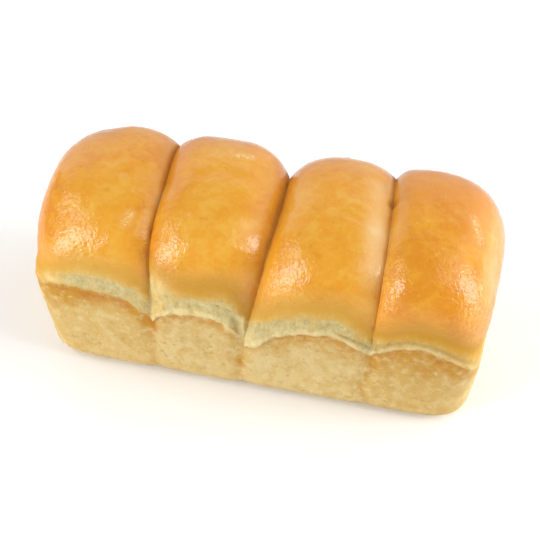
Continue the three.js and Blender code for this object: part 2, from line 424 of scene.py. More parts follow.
class LoafForm:
    """Works out where each point of a box grid stands on the loaf."""

    def __init__(self, sizes: LoafSizes, grid: GridSizes) -> None:
        """Keeps the sizes that the form is made from."""
        self.s = sizes
        self.g = grid
        self.shoulder = math.cos(math.pi / 4) ** (2 / sizes.crown_power)

    def columns(self, along: np.ndarray) -> np.ndarray:
        """Gathers even grid columns toward the seams.

        Args:
            along: even places along the lobes, 0 to 4.

        Returns:
            The gathered places, 0 to 4.
        """
        last = self.s.lobes - 1
        lobe = np.minimum(np.floor(along), last)
        f = along - lobe
        pull = self.g.seam_gather

        def near(part: np.ndarray) -> np.ndarray:
            """Gathers places toward 0."""
            return part - pull * np.sin(np.pi * part) / np.pi

        inner = f - pull * np.sin(2 * np.pi * f) / (2 * np.pi)
        return lobe + np.where(lobe == 0, 1 - near(1 - f), np.where(lobe == last, near(f), inner))

    def rows(self, across: np.ndarray) -> np.ndarray:
        """Where even grid rows stand across the loaf, -1 to 1."""
        quarter = math.pi / 2 * self.g.side_gather
        return np.sin(across * quarter) / math.sin(quarter)

    def arcs(self, at_seams: Knots, at_crests: Knots, power: float, lobe: np.ndarray,
             at: np.ndarray) -> np.ndarray:
        """A height that rises from seam to seam in one arc a lobe.

        Args:
            at_seams: the height at each end and seam.
            at_crests: the height in the middle of each lobe.
            power: how square the arc is.
            lobe: the number of each point's lobe.
            at: the place in the lobe, -1 to 1.

        Returns:
            The height at each point.
        """
        seams, crests = np.asarray(at_seams), np.asarray(at_crests)
        chord = lerp(seams[lobe], seams[lobe + 1], (1 + at) / 2)
        middle = (seams[lobe] + seams[lobe + 1]) / 2
        return chord + (crests[lobe] - middle) * (1 - np.abs(at) ** power)

    def spot(self, along: np.ndarray, across: np.ndarray, row: np.ndarray) -> GridSpot:
        """Works out where grid points lie in plan.

        Args:
            along: 0 to 4 along the lobes.
            across: -1 at the front to 1 at the back.
            row: the level, 0 on the base and the grid's last level on the top.

        Returns:
            The points' spots.
        """
        s = self.s
        last = s.lobes - 1
        lobe = np.minimum(np.floor(along), last).astype(int)
        f = along - lobe
        to_end = np.where(lobe == last, 1 - (1 - f) / s.end_share, -1.0)
        to_end = np.where(lobe == 0, 1 - f / s.end_share, to_end)
        stretch = np.where(lobe == last, f / (1 - s.end_share), f)
        stretch = np.where(lobe == 0, (f - s.end_share) / (1 - s.end_share), stretch)
        ring = np.maximum(np.maximum(np.abs(across), to_end), TINY)
        return GridSpot(
            lobe=lobe,
            left=along < s.lobes / 2,
            across=across,
            stretch=np.clip(stretch, 0, 1),
            to_end=to_end,
            in_end=to_end > 0,
            ring=ring,
            end_part=np.maximum(to_end, 0) / ring,
            side_part=np.abs(across) / ring,
            on_base=row < 0.5,
            on_top=row > self.g.levels - 0.5,
        )

    def level(self, row: np.ndarray, spot: GridSpot) -> Level:
        """Works out the level of each point.

        Args:
            row: the level's number, 0 on the base.
            spot: where the points lie in plan.

        Returns:
            The points' levels.
        """
        s, g = self.s, self.g
        wall_row, lip_row, crown_row = np.cumsum((g.base_levels, g.wall_levels, g.lip_levels))
        zone = np.digitize(row + 0.5, (wall_row, lip_row, crown_row))
        turn = np.clip(row / g.base_levels, 0, 1) * np.pi / 2
        climb = np.clip((row - wall_row) / g.wall_levels, 0, 1)
        lip_lift = lerp(s.lip_levels[0], s.lip_levels[3], np.clip((row - lip_row) / g.lip_levels, 0, 1))
        crown_step = np.clip((row - crown_row) / g.crown_levels, 0, 1)

        foot = -(s.crown_foot - s.lip_levels[3]) / s.crown_rise
        rise = lerp(foot, self.shoulder, crown_step)
        share = (1 - np.maximum(rise, 0) ** s.crown_power) ** (1 / s.crown_power)
        share = np.where(spot.on_top, self.shoulder * spot.ring, by_zone(zone, 1.0, 1.0, 1.0, share))
        rise = np.where(spot.on_top, (1 - share ** s.crown_power) ** (1 / s.crown_power), rise)
        crown_lift = s.crown_foot + s.crown_rise * rise
        over_lip = by_zone(zone, 0.0, 0.0, 0.0, crown_lift - s.lip_levels[3])

        band = np.clip(over_lip / s.band_height, 0, 1)
        end_share = np.where(spot.left, s.lip_share_left, s.lip_share_right)
        lip_out = s.lip_out * lerp(1.0, end_share, smoothstep(spot.to_end, *s.lip_fade))
        lip = lip_out * curve(s.lip_levels, s.lip_shares, lip_lift)
        proud = by_zone(zone, 0.0, 0.0, lip, lip_out * s.lip_shares[3] * (1 - smoothstep(band, 0, 1)))
        rounding = -s.base_radius * (1 - np.sin(turn))
        face_out = share ** (s.crown_power - 1) / s.half_width
        face_up = np.maximum(rise, 0) ** (s.crown_power - 1) / s.crown_rise
        length = np.hypot(face_out, face_up)
        return Level(
            zone=zone,
            turn=turn,
            climb=climb,
            rise=rise,
            share=share,
            lip_lift=lip_lift,
            lift=by_zone(zone, FAR_BELOW, FAR_BELOW, lip_lift, crown_lift),
            over_lip=over_lip,
            proud=proud,
            out=by_zone(zone, rounding, 0.0, proud, proud - s.band_dip * np.sin(np.pi * band) ** 2),
            inset=by_zone(zone, 1.0, (1 - climb) ** s.base_inset_power, 0.0, 0.0),
            facing_out=by_zone(zone, np.sin(turn), 1.0, 1.0, face_out / length),
            facing_up=by_zone(zone, -np.cos(turn), 0.0, 0.0, face_up / length),
        )

    def half_sizes(self, level: Level, left: np.ndarray) -> tuple[np.ndarray, np.ndarray, np.ndarray]:
        """Works out how far the loaf reaches at each level.

        Args:
            level: the points' levels.
            left: whether each point is on the left half.

        Returns:
            The reach of the side, the reach of the end, and how square the corner is in plan.
        """
        s = self.s
        climbed = np.clip(level.lift / (s.crown_foot + s.crown_rise), 0, 1)
        over_band = smoothstep(level.over_lip, 0, s.band_height)
        crown_power = np.where(left, s.crown_plan_power_left, s.crown_plan_power_right)
        power = lerp(s.base_plan_power, s.lip_plan_power, level.climb)
        power = lerp(power, s.foot_plan_power, over_band)
        power = lerp(power, crown_power, smoothstep(climbed * s.crown_plan_rate, 0, 1))
        end_inset = np.where(left, s.base_inset_left, s.base_inset_right)
        bulge_left = s.crown_bulge_left * smoothstep(level.over_lip, *s.bulge_levels_left)
        bulge_right = s.crown_bulge_right * smoothstep(level.over_lip, *s.bulge_levels_right)
        side = (s.half_width + s.crown_bulge_side * over_band) * level.share
        end = (s.end_zone + np.where(left, bulge_left, bulge_right)) * level.share
        side = side + level.out - s.base_inset_side * level.inset
        end = end + level.out - end_inset * level.inset
        return side, end, power

    def girth(self, level: Level, across: np.ndarray) -> np.ndarray:
        """Works out how far round the girth each point is.

        Args:
            level: the points' levels.
            across: -1 at the front to 1 at the back.

        Returns:
            -1 and 1 at the front and back edge of the base, 0 at the ridge.
        """
        s = self.s
        climbed = np.clip(level.over_lip / (s.shoulder_share * s.crown_rise), 0, 1)
        below = lerp(1.0, s.ledge_girth, level.climb)
        return by_zone(level.zone, 1.0, below, below, lerp(s.ledge_girth, s.shoulder_girth, climbed)) * across

    def seam_lines(self, girth: np.ndarray, spot: GridSpot) -> list[np.ndarray]:
        """Works out where the seams pass each point.

        Args:
            girth: how far round the girth the points are.
            spot: where they lie in plan.

        Returns:
            For each seam, its place along the loaf at every point.
        """
        s = self.s
        lines = []
        for seam in s.seams:
            flat = lerp(seam.line[0], seam.line[-1], (1 + spot.across) / 2)
            wander = curve(s.wall_girth, seam.wander, -np.abs(girth)) * (np.abs(girth) > s.ledge_girth)
            line = curve(s.girth, seam.line, girth) - np.sign(girth) * wander
            lines.append(np.where(spot.on_base, flat, line))
        return lines

    def plan(self, spot: GridSpot, level: Level, lines: list[np.ndarray]) -> tuple[np.ndarray, ...]:
        """Places the points in plan.

        Args:
            spot: where they lie on the grid.
            level: their levels.
            lines: where the seams pass them.

        Returns:
            Their places along and across the loaf, and the two parts of the direction that they face.
        """
        s = self.s
        side, end, power = self.half_sizes(level, spot.left)
        here = np.arange(len(spot.lobe))
        shrink = np.where(spot.on_base, spot.ring, 1.0)
        first = np.full(here.shape, s.left_end + s.end_zone)
        final = np.full(here.shape, s.right_end - s.end_zone)
        stops = np.array([first, *lines, final])
        x = lerp(stops[spot.lobe, here], stops[spot.lobe + 1, here], spot.stretch)
        outward = np.where(spot.left, -1.0, 1.0)
        pull = np.maximum(spot.end_part ** power + spot.side_part ** power, TINY) ** (-1 / power) * shrink
        x = np.where(spot.in_end, np.where(spot.left, first, final) + outward * pull * spot.end_part * end, x)
        y = np.sign(spot.across) * np.where(spot.in_end, pull * spot.side_part * side, side * shrink)
        face_x = np.where(spot.in_end, outward * spot.end_part ** (power - 1), 0.0)
        face_y = np.sign(spot.across) * np.where(spot.in_end, spot.side_part ** (power - 1), 1.0)
        length = np.hypot(face_x, face_y) + TINY
        return x, y, face_x / length, face_y / length

    def heights(self, x: np.ndarray, y: np.ndarray, spot: GridSpot, level: Level,
                lines: list[np.ndarray]) -> tuple[np.ndarray, np.ndarray, np.ndarray]:
        """Works out how high the points are.

        Args:
            x: the points' places along the loaf.
            y: their places across it.
            spot: where they lie on the grid.
            level: their levels.
            lines: where the seams pass them.

        Returns:
            Each point's place in its lobe from -1 to 1, the ledge's height there, and the point's height.
        """
        s = self.s
        here = np.arange(len(x))
        edges = np.array([np.full(x.shape, s.left_end), *lines, np.full(x.shape, s.right_end)])
        start, stop = edges[spot.lobe, here], edges[spot.lobe + 1, here]
        at = np.clip((2 * x - start - stop) / (stop - start), -1, 1)
        endness = smoothstep(np.abs(x), s.right_end - s.end_zone, s.right_end)
        end_arc = s.end_ledge_rise * endness * (1 - np.minimum(np.abs(y) / s.half_width, 1) ** s.ledge_power)
        ledge = self.arcs(s.ledge_at_seams, s.ledge_at_crests, s.ledge_power, spot.lobe, at) + end_arc
        ledge += read_by_lobe(s.ledge_trim, spot.lobe, at)
        ridge = self.arcs(s.ridge_at_seams, s.ridge_at_crests, s.ridge_power, spot.lobe, at)
        floor = ledge + s.crown_foot
        z = by_zone(
            level.zone,
            s.base_radius * (1 - np.cos(level.turn)),
            lerp(s.base_radius, ledge + s.lip_levels[0], level.climb),
            ledge + level.lip_lift,
            floor + level.rise * np.where(level.rise < 0, s.crown_rise, ridge - floor),
        )
        return at, ledge, np.where(spot.on_base, 0.0, z)

    def cuts(self, x: np.ndarray, girth: np.ndarray, opened: np.ndarray, creased: np.ndarray,
             lines: list[np.ndarray]) -> SeamCut:
        """Works out what the seams do at each point.

        Args:
            x: the points' places along the loaf.
            girth: how far round the girth they are.
            opened: how far the seams have opened there to their full reach.
            creased: how far a seam is a sharp crease there rather than a soft hollow.
            lines: where the seams pass them.

        Returns:
            The seams' depth, closeness, and darkness of brown and painted shade at the points.
        """
        s = self.s
        cut = SeamCut(*np.zeros((3, len(x))), np.full(x.shape, FAR_AWAY), np.zeros(x.shape, int))
        for number, (seam, line) in enumerate(zip(s.seams, lines)):
            away = x - line
            distance, before = np.abs(away), away < 0
            reach_left = curve(s.girth, seam.reach_left, girth)
            reach = np.where(before, reach_left, curve(s.girth, seam.reach_right, girth))
            near = 1 - np.clip(distance / lerp(s.wall_reach, reach, opened), 0, 1)
            sharp = (1 - np.sqrt(1 - (seam.crease * near) ** 2)) / (1 - math.sqrt(1 - seam.crease ** 2))
            soft = s.soft_depth * smoothstep(near, 0, 1)
            cut.depth += curve(s.girth, seam.depth, girth) * lerp(soft, sharp, creased)
            cut.share = np.maximum(cut.share, near)
            # Brown and painted shade, fading out from the seam's line over its brown_shade reach.
            shaded = 1 - np.clip(distance / np.where(before, seam.brown_shade[0], seam.brown_shade[1]), 0, 1)
            cut.brown_shade = np.maximum(cut.brown_shade, shaded * curve(s.girth, seam.dark, girth))
            nearer = distance < cut.gap
            cut.gap = np.where(nearer, distance, cut.gap)
            cut.nearest = np.where(nearer, number, cut.nearest)
        return cut

    def skin(self, along: np.ndarray, across: np.ndarray, row: np.ndarray) -> Skin:
        """Moves grid points onto the loaf.

        Args:
            along: 0 to 4 along the lobes.
            across: -1 at the front to 1 at the back.
            row: the level, 0 on the base and the grid's last level on the top.

        Returns:
            The points' places and where they lie.
        """
        s = self.s
        spot = self.spot(along, across, row)
        level = self.level(row, spot)
        girth = self.girth(level, across)
        lines = self.seam_lines(girth, spot)
        x, y, face_x, face_y = self.plan(spot, level, lines)
        at, ledge, z = self.heights(x, y, spot, level, lines)
        lift = np.where(level.zone == Zone.LIP.value, level.lift, z - ledge)
        opened = by_zone(level.zone, 0.0, 0.0, 0.0, smoothstep(level.lift, 0, s.seam_opening))
        cut = self.cuts(x, girth, opened, smoothstep(lift, *s.crease_levels), lines)
        depth = np.where(spot.on_base, 0.0, cut.depth)
        inward = level.facing_out * depth + level.proud * (1 - read_by_lobe(s.lip_strength, spot.lobe, at))
        z = np.maximum(z - level.facing_up * depth, 0)
        place = np.stack([x - face_x * inward, y - face_y * inward, z], axis=1)
        middle = (place.max(0) + place.min(0)) / 2
        place[:, :2] -= middle[:2]
        return Skin(
            place=place,
            lobe=spot.lobe,
            across_lobe=at,
            lift=lift,
            girth=girth,
            seam_gap=cut.gap,
            seam=cut.nearest,
            seam_share=cut.share,
            seam_brown_shade=cut.brown_shade,
            zone=level.zone,
        )


@dataclass(frozen=True)
class Pattern:
    """A smooth pattern of the skin: its largest features' size in millimetres, its detail and its stretch."""

    size: float
    detail: float = 3.0
    rough: float = 0.5
    warp: float = 0.0
    scale: Place | None = None


@dataclass(frozen=True)
class Spots:
    """Scattered spots: their cells' size in millimetres, a spot's soft edge, and how few cells have one."""

    size: float
    edge: Span
    rarity: Span
    scale: Place | None = None


class Value:
    """A shader socket's number, on which ordinary arithmetic adds Math nodes."""

    def __init__(self, shader: "Shader", socket: bpy.types.NodeSocket) -> None:
        """Wraps one output socket."""
        self.shader = shader
        self.socket = socket

    def _math(self, operation: str, a: object, b: object) -> "Value":
        """One Math node on two numbers or sockets."""
        made = self.shader.add("ShaderNodeMath", {"operation": operation}, {0: a, 1: b})
        return Value(self.shader, made.outputs[0])

    def __add__(self, other: object) -> "Value":
        """self + other."""
        return self._math("ADD", self, other)

    __radd__ = __add__

    def __sub__(self, other: object) -> "Value":
        """self - other."""
        return self._math("SUBTRACT", self, other)

    def __rsub__(self, other: object) -> "Value":
        """other - self."""
        return self._math("SUBTRACT", other, self)

    def __mul__(self, other: object) -> "Value":
        """self * other."""
        return self._math("MULTIPLY", self, other)

    __rmul__ = __mul__

    def at_most(self, other: object) -> "Value":
        """The smaller of the two."""
        return self._math("MINIMUM", self, other)

    def at_least(self, other: object) -> "Value":
        """The larger of the two."""
        return self._math("MAXIMUM", self, other)

    def swing(self, amount: float) -> "Value":
        """A pattern's number moved to swing round 0, over an amount in all."""
        return (self - 0.5) * amount

    def step(self, low: float, high: float) -> "Value":
        """0 below low, 1 above high, smooth between; low may be the larger."""
        inputs = {"Value": self, "From Min": low, "From Max": high, "To Min": 0.0, "To Max": 1.0}
        made = self.shader.add("ShaderNodeMapRange", {"interpolation_type": "SMOOTHSTEP"}, inputs)
        return Value(self.shader, made.outputs[0])


class Shader:
    """Builds one material's nodes."""

    def __init__(self, name: str) -> None:
        """Makes an empty material with its Principled shader and output."""
        self.material = bpy.data.materials.new(name)
        self.material.use_nodes = True
        self.tree = self.material.node_tree
        self.tree.nodes.clear()
        self.output = self.add("ShaderNodeOutputMaterial")
        self.principled = self.add("ShaderNodeBsdfPrincipled")
        self.tree.links.new(self.principled.outputs[0], self.output.inputs["Surface"])
        self.coords = self.add("ShaderNodeTexCoord").outputs["Object"]

    def add(self, kind: str, settings: dict | None = None, inputs: dict | None = None) -> bpy.types.Node:
        """Adds a node.

        Args:
            kind: the node's type name.
            settings: properties that are set first.
            inputs: numbers, colours or links for its sockets, by name or number.

        Returns:
            The node.
        """
        node = self.tree.nodes.new(kind)
        for key, value in (settings or {}).items():
            setattr(node, key, value)
        for key, value in (inputs or {}).items():
            self.set(node, key, value)
        return node

    def set(self, node: bpy.types.Node, key: str | int, value: object) -> None:
        """Sets or links one socket.

        Args:
            node: the node whose socket it is.
            key: the socket's name or number.
            value: a number, a colour, a Value or an output socket.
        """
        socket = node.inputs[key]
        if isinstance(value, Value):
            self.tree.links.new(value.socket, socket)
        elif isinstance(value, bpy.types.NodeSocket):
            self.tree.links.new(value, socket)
        elif isinstance(value, tuple) and socket.type == "RGBA":
            socket.default_value = (*value, 1.0)
        else:
            socket.default_value = value

    def attribute(self, name: str) -> Value:
        """A number kept on the mesh's points."""
        return Value(self, self.add("ShaderNodeAttribute", {"attribute_name": name}).outputs["Fac"])

    def place(self, scale: Place | None) -> bpy.types.NodeSocket:
        """Object coordinates, scaled along each axis where a scale is given."""
        if scale is None:
            return self.coords
        return self.add("ShaderNodeMapping", None, {"Vector": self.coords, "Scale": scale}).outputs[0]

    def noise(self, pattern: Pattern) -> Value:
        """Adds a noise.

        Args:
            pattern: its size, detail and stretch.

        Returns:
            The noise's number, about 0 to 1.
        """
        made = self.add("ShaderNodeTexNoise", None, {
            "Vector": self.place(pattern.scale),
            "Scale": MM_A_METRE / pattern.size,
            "Detail": pattern.detail,
            "Roughness": pattern.rough,
            "Distortion": pattern.warp,
        })
        return Value(self, made.outputs["Fac"])

    def cells(self, size: float, scale: Place | None = None) -> bpy.types.Node:
        """Scattered cells of a size in millimetres."""
        inputs = {"Vector": self.place(scale), "Scale": MM_A_METRE / size, "Randomness": 1.0}
        return self.add("ShaderNodeTexVoronoi", None, inputs)

    def spots(self, spots: Spots) -> Value:
        """Adds scattered spots.

        Args:
            spots: their size, edge and rarity.

        Returns:
            1 in the middle of each spot, and 0 between them.
        """
        cells = self.cells(spots.size, spots.scale)
        own = self.add("ShaderNodeSeparateColor", None, {0: cells.outputs["Color"]})
        inside = Value(self, cells.outputs["Distance"]).step(*spots.edge)
        return inside * Value(self, own.outputs[0]).step(*spots.rarity)

    def blend(self, share: object, a: object, b: object) -> bpy.types.NodeSocket:
        """Mixes two colours.

        Args:
            share: how far to go from the first to the second.
            a: the first colour.
            b: the second colour.

        Returns:
            The mixed colour.
        """
        node = self.add("ShaderNodeMix", {"data_type": "RGBA"})
        self.set(node, 0, share)
        self.set(node, 6, a)
        self.set(node, 7, b)
        return node.outputs[2]

    def coats(self, ground: object, coats: list[tuple[object, object]]) -> bpy.types.NodeSocket:
        """Lays colours over a ground, one after another.

        Args:
            ground: the colour below them.
            coats: the share and the colour of each coat.

        Returns:
            The colour that shows.
        """
        for share, colour in coats:
            ground = self.blend(share, ground, colour)
        return ground

    def bump(self, height: Value, distance_mm: float) -> bpy.types.NodeSocket:
        """A Bump node's normal."""
        return self.add("ShaderNodeBump", None, {"Height": height, "Distance": distance_mm * MM}).outputs[0]

    def finish(self, sockets: dict) -> bpy.types.Material:
        """Sets the Principled shader's sockets and returns the material."""
        for key, value in sockets.items():
            self.set(self.principled, key, value)
        return self.material


@dataclass(frozen=True)
class BreadFinish:
    """The colours, patterns and gloss of the loaf's skin, from the glazed crust to the tin-pressed walls."""

    crust: Colour = (0.695, 0.302, 0.020)
    crust_deep: Colour = (0.64, 0.235, 0.010)
    crust_pale: Colour = (0.72, 0.37, 0.045)
    # The low crust darkens toward its edge, partly as painted shade where it curves in; crust_shade is
    # painted shade laid there by the low_shade mask.
    crust_low: Colour = (0.55, 0.285, 0.018)
    crust_shade: Colour = (0.495, 0.232, 0.002)
    # Brown for freckles and marks, and also painted shade in the seams and beside the first seam.
    crust_brown_and_shade: Colour = (0.42, 0.125, 0.006)
    band: Colour = (0.465, 0.365, 0.135)
    band_cream: Colour = (0.54, 0.445, 0.215)
    band_high: Colour = (0.60, 0.40, 0.10)
    band_gold: Colour = (0.63, 0.43, 0.13)
    band_shade: Colour = (0.42, 0.32, 0.095)
    lip: Colour = (0.67, 0.53, 0.245)
    lip_pale: Colour = (0.72, 0.60, 0.30)
    wall: Colour = (0.57, 0.40, 0.145)
    wall_pale: Colour = (0.63, 0.48, 0.21)
    wall_tan: Colour = (0.545, 0.34, 0.09)
    # Painted light bounced from the floor, lighter and yellower toward the base.
    wall_floor_bounce: Colour = (0.68, 0.49, 0.19)
    # Olive painted shade in the furrow over the lip, in folds, pits and pores, and a few olive spots.
    olive: Colour = (0.37, 0.245, 0.075)
    toast: Colour = (0.475, 0.228, 0.012)
    pore: Colour = (0.42, 0.30, 0.105)
    # Painted highlight colour on the crust, for glints, sheens and reflections.
    highlight_cream: Colour = (0.78, 0.50, 0.20)
    crust_roughness: float = 0.20
    crumb_roughness: float = 0.82
    roughness_swing: float = 0.16
    crease_roughness: float = 0.8
    shine: float = 0.52
    mottle: Pattern = Pattern(26, 4, 0.55, 0.4)
    patch: Pattern = Pattern(9, 4, 0.6, 0.3)
    fine: Pattern = Pattern(4.5, 4, 0.6)
    speck: Pattern = Pattern(1.6, 3, 0.6)
    dapple: Pattern = Pattern(5.5, 3, 0.6, 0.6)
    streaks: Pattern = Pattern(3.6, 4, 0.65, 0.3, (1.0, 1.0, 0.7))
    fibre: Pattern = Pattern(1.7, 3, 0.6, 0.3, (1.0, 1.0, 0.3))
    blotch: Pattern = Pattern(7.5, 3, 0.52, 0.3, (1.1, 1.1, 0.9))
    wrinkle: Pattern = Pattern(3.4, 2, 0.5, 1.2)
    bubble_size: float = 2.9
    freckles: Spots = Spots(7, (0.16, 0.05), (0.78, 0.84))
    # Cream flecks painted on the crust as small glints.
    glint_flecks: Spots = Spots(4.5, (0.15, 0.05), (0.80, 0.86))
    dashes: Spots = Spots(4.6, (0.36, 0.04), (0.5, 0.88), (0.75, 0.75, 1.1))
    pinholes: Spots = Spots(3.4, (0.26, 0.06), (0.6, 0.9))


class BakedSkin(Shader):
    """The skin's material, worked out from the masks kept on the mesh and the patterns of its finish."""

    def __init__(self, bread: BreadFinish) -> None:
        """Adds the numbers that more than one part of the skin is worked out from.

        Args:
            bread: the skin's colours, patterns and gloss.
        """
        super().__init__("baked_skin")
        self.bread = bread
        self.mottle, self.patch = self.noise(bread.mottle), self.noise(bread.patch)
        self.fine, self.speck = self.noise(bread.fine), self.noise(bread.speck)
        self.streaks, self.fibre = self.noise(bread.streaks), self.noise(bread.fibre)
        self.glint_fleck = self.spots(bread.glint_flecks)
        self.pores = self.spots(bread.dashes).at_least(self.spots(bread.pinholes))
        self.lift, self.crinkle = self.attribute("lift"), self.attribute("crinkle")
        self.edge = self.attribute("over_edge") + self.patch.swing(8) + self.fine.swing(2.5)
        self.crust = (self.edge + self.speck.swing(5)).step(-9.0, 6.0)
        self.on_band = (self.lift + self.fine.swing(6) + self.patch.swing(4)).step(-2.4, 1.0)

    def crust_colour(self) -> bpy.types.NodeSocket:
        """The glazed crust: deeper and paler dapples, freckles and painted glints, painted shade on its low
        edge, and brown and painted shade at the seams.

        Returns:
            The crust's colour.
        """
        bread, dapple = self.bread, self.noise(self.bread.dapple)
        bake_and_shade_level = self.attribute("bake_and_shade") + self.mottle.swing(1.6) + self.patch.swing(0.9) + dapple.swing(1.1)
        return self.coats(bread.crust, [
            (bake_and_shade_level.step(0.35, 1.0), bread.crust_deep),
            (bake_and_shade_level.step(0.45, -0.1), bread.crust_pale),
            # Painted shade on the low crust: darker low down, and more where the low_shade mask says.
            (self.edge.step(20, 2) * 0.85, bread.crust_low),
            (self.edge.step(24, 6) * self.attribute("low_shade"), bread.crust_shade),
            (self.spots(bread.freckles) * 0.35, bread.crust_brown_and_shade),
            # Painted glints.
            (self.glint_fleck * 0.4, bread.highlight_cream),
            # Brown and painted shade in the seams.
            (self.attribute("seam") * (0.35 + 0.9 * self.patch), bread.crust_brown_and_shade),
        ])

    def band_colour(self) -> bpy.types.NodeSocket:
        """The torn band: streaks of cream, gold under the crust, the pale lip, and fine fibres.

        Returns:
            The band's colour.
        """
        bread = self.bread
        gold = self.attribute("gold") + self.patch.swing(1.2)
        ridge = self.lift + self.fine.swing(5) + self.patch.swing(4)
        on_lip = ridge.step(-1.5, 1.0) * ridge.step(6.0, 2.5) * self.attribute("lip").at_most(1.0)
        return self.coats(bread.band_cream, [
            (self.streaks.step(0.36, 0.62), bread.band),
            (self.edge.step(-9, 0), bread.band_high),
            (gold.step(0.1, 0.9), bread.band_gold),
            (self.patch.step(0.50, 0.62) * 0.5, bread.band_gold),
            (self.streaks.step(0.56, 0.70) * 0.28, bread.band_shade),
            (on_lip * 0.92, bread.lip),
            (self.fibre.step(0.50, 0.66) * 0.2, bread.band_shade),
            (self.fibre.step(0.48, 0.34) * 0.3, bread.lip),
        ])

    def wall_colour(self) -> bpy.types.NodeSocket:
        """The tin-pressed walls: blotches of tan and pale, and painted light bounced from the floor that
        makes them lighter and yellower near the base.

        Returns:
            The walls' colour.
        """
        bread, blotch = self.bread, self.noise(self.bread.blotch)
        tan = self.attribute("tan") + self.mottle.swing(1.0)
        return self.coats(bread.wall, [
            (self.mottle.step(0.42, 0.60), bread.wall_pale),
            (self.patch.step(0.58, 0.42) * 0.35, bread.wall_pale),
            (tan.step(0.1, 1.0), bread.wall_tan),
            # Painted light bounced from the floor, strongest at the base.
            (self.attribute("low") * 0.5, bread.wall_floor_bounce),
            (blotch.step(0.48, 0.62) * (0.5 + 0.35 * tan).at_most(0.9), bread.wall_tan),
            (blotch.step(0.48, 0.36) * 0.6, bread.wall_pale),
        ])

    def crumb_colour(self) -> bpy.types.NodeSocket:
        """The walls and the band, with their pores, specks and toasted strip.

        Returns:
            The colour of all that isn't crust.
        """
        bread = self.bread
        mottled = self.patch.swing(3.0) + self.fine.swing(2.6) + self.speck.swing(1.4) + 0.9
        return self.coats(self.wall_colour(), [
            (self.on_band, self.band_colour()),
            (self.pores * 0.68, bread.pore),
            (self.speck.step(0.54, 0.72) * 0.3, bread.pore),
            (self.fine.step(0.46, 0.32) * 0.3, bread.lip_pale),
            (self.attribute("toast") * mottled.step(-0.5, 1.8), bread.toast),
        ])

    def colour(self) -> bpy.types.NodeSocket:
        """The whole skin: the crust over the crumb, and the marks over both, with their painted shade and
        highlights.

        Returns:
            The skin's colour.
        """
        bread = self.bread
        # Painted glints: crinkled pale marks break into bright and dull specks.
        sparkle = 1.4 * self.speck.step(0.46, 0.6) - 0.7
        pale = self.attribute("pale") * (1 + self.crinkle.at_most(1.0) * sparkle)
        return self.coats(self.crumb_colour(), [
            (self.crust, self.crust_colour()),
            # Olive painted shade in furrows, folds, pits and pores.
            (self.attribute("olive"), bread.olive),
            # Brown marks, the browner rear and the toasted line, and painted shade beside the first seam.
            (self.attribute("brown"), bread.crust_brown_and_shade),
            # Pale dough on the band and lip, and painted highlights and reflections on the crust.
            (pale, self.blend(self.crust, bread.lip_pale, bread.highlight_cream)),
        ])

    def roughness(self) -> Value:
        """Glossy high on the crust, dull below its edge and in the seams.

        Returns:
            The skin's roughness.
        """
        bread = self.bread
        gloss = self.edge.step(-4.0, 14.0) * self.lift.step(8.0, 28.0)
        rough = bread.crumb_roughness + gloss * (bread.crust_roughness - bread.crumb_roughness)
        rough = rough + self.fine.swing(bread.roughness_swing) * self.crust
        return rough.at_least(self.attribute("crease") * bread.crease_roughness)

    def normal(self) -> bpy.types.NodeSocket:
        """The finest relief: wrinkles and bubbles in the glaze, pores, fibres and specks in the crumb.

        Returns:
            The skin's normal.
        """
        wrinkle = self.noise(self.bread.wrinkle)
        bubble = Value(self, self.cells(self.bread.bubble_size).outputs["Distance"])
        crinkled = (self.crinkle + self.patch.swing(1.5)).step(0.1, 0.9)
        glaze = wrinkle * 0.36 - bubble * bubble * 0.2
        crust = wrinkle * 0.10 + glaze * crinkled + self.speck * 0.02 + self.patch * 0.3 - self.glint_fleck * 0.05
        crumb = self.fine * 0.58 + self.speck * 0.3 - self.pores * 0.32
        crumb = crumb + (self.streaks * 0.5 + self.fibre * 0.2) * self.on_band
        return self.bump(crust * self.crust + crumb * (1 - self.crust), 1.0)

    def build(self) -> bpy.types.Material:
        """Joins the colour, the gloss and the relief.

        Returns:
            The finished material.
        """
        return self.finish({
            "Base Color": self.colour(),
            "Roughness": self.roughness(),
            "Specular IOR Level": self.bread.shine,
            "Normal": self.normal(),
        })


@dataclass(frozen=True)
class ReliefSizes:
    """How the skin's fine unevenness is spread, in millimetres of height over the ledge or of distance.

    A bell is given by its middle and its width, and a start or a gap by where it begins and where it is full.
    """

    slow: tuple[Grain, ...] = (Grain(42, 3, 0.7),)
    wall: tuple[Grain, ...] = (Grain(24, 4, 0.6), Grain(6, 5, 0.15))
    lip: tuple[Grain, ...] = (Grain(9, 6, 1.2), Grain(3.6, 7, 1.1))
    lip_least: float = 0.25
    lip_bell: Span = (2.0, 2.8)
    lip_wave: tuple[Grain, ...] = (Grain(16, 14, 1.3, (1.0, 1.0, 0.3)), Grain(5, 15, 1.2))
    lip_wave_bell: Span = (1.5, 7.0)
    folds: Grain = Grain(7, 8, 1.0, (1.0, 1.0, 0.4))
    fibres: Grain = Grain(2.6, 9, 0.3, (1.0, 1.0, 0.4))
    fold_gap: Span = (26.0, 6.0)
    fold_least: float = 0.5
    fold_gain: float = 0.7
    band_start: Span = (3.0, 7.0)
    crown: tuple[Grain, ...] = (Grain(13, 10, 0.24), Grain(5, 11, 0.09))
    blister_count: int = 90
    blister_radius: Span = (1.6, 4.2)
    blister_height: Span = (-0.25, 0.4)
    blister_taper: float = 1.6
    blister_crust: float = 0.9
    blister_gap: float = 6.0
    seed: int = 7
    furrow_bell: Span = (5.2, 1.7)
    pit_radius: float = 1.5
    pit_dip: float = 0.9
    pit_olive: float = 0.45
    pore_radius: float = 1.3
    pore_dip: float = 0.4
    pore_olive: float = 0.6


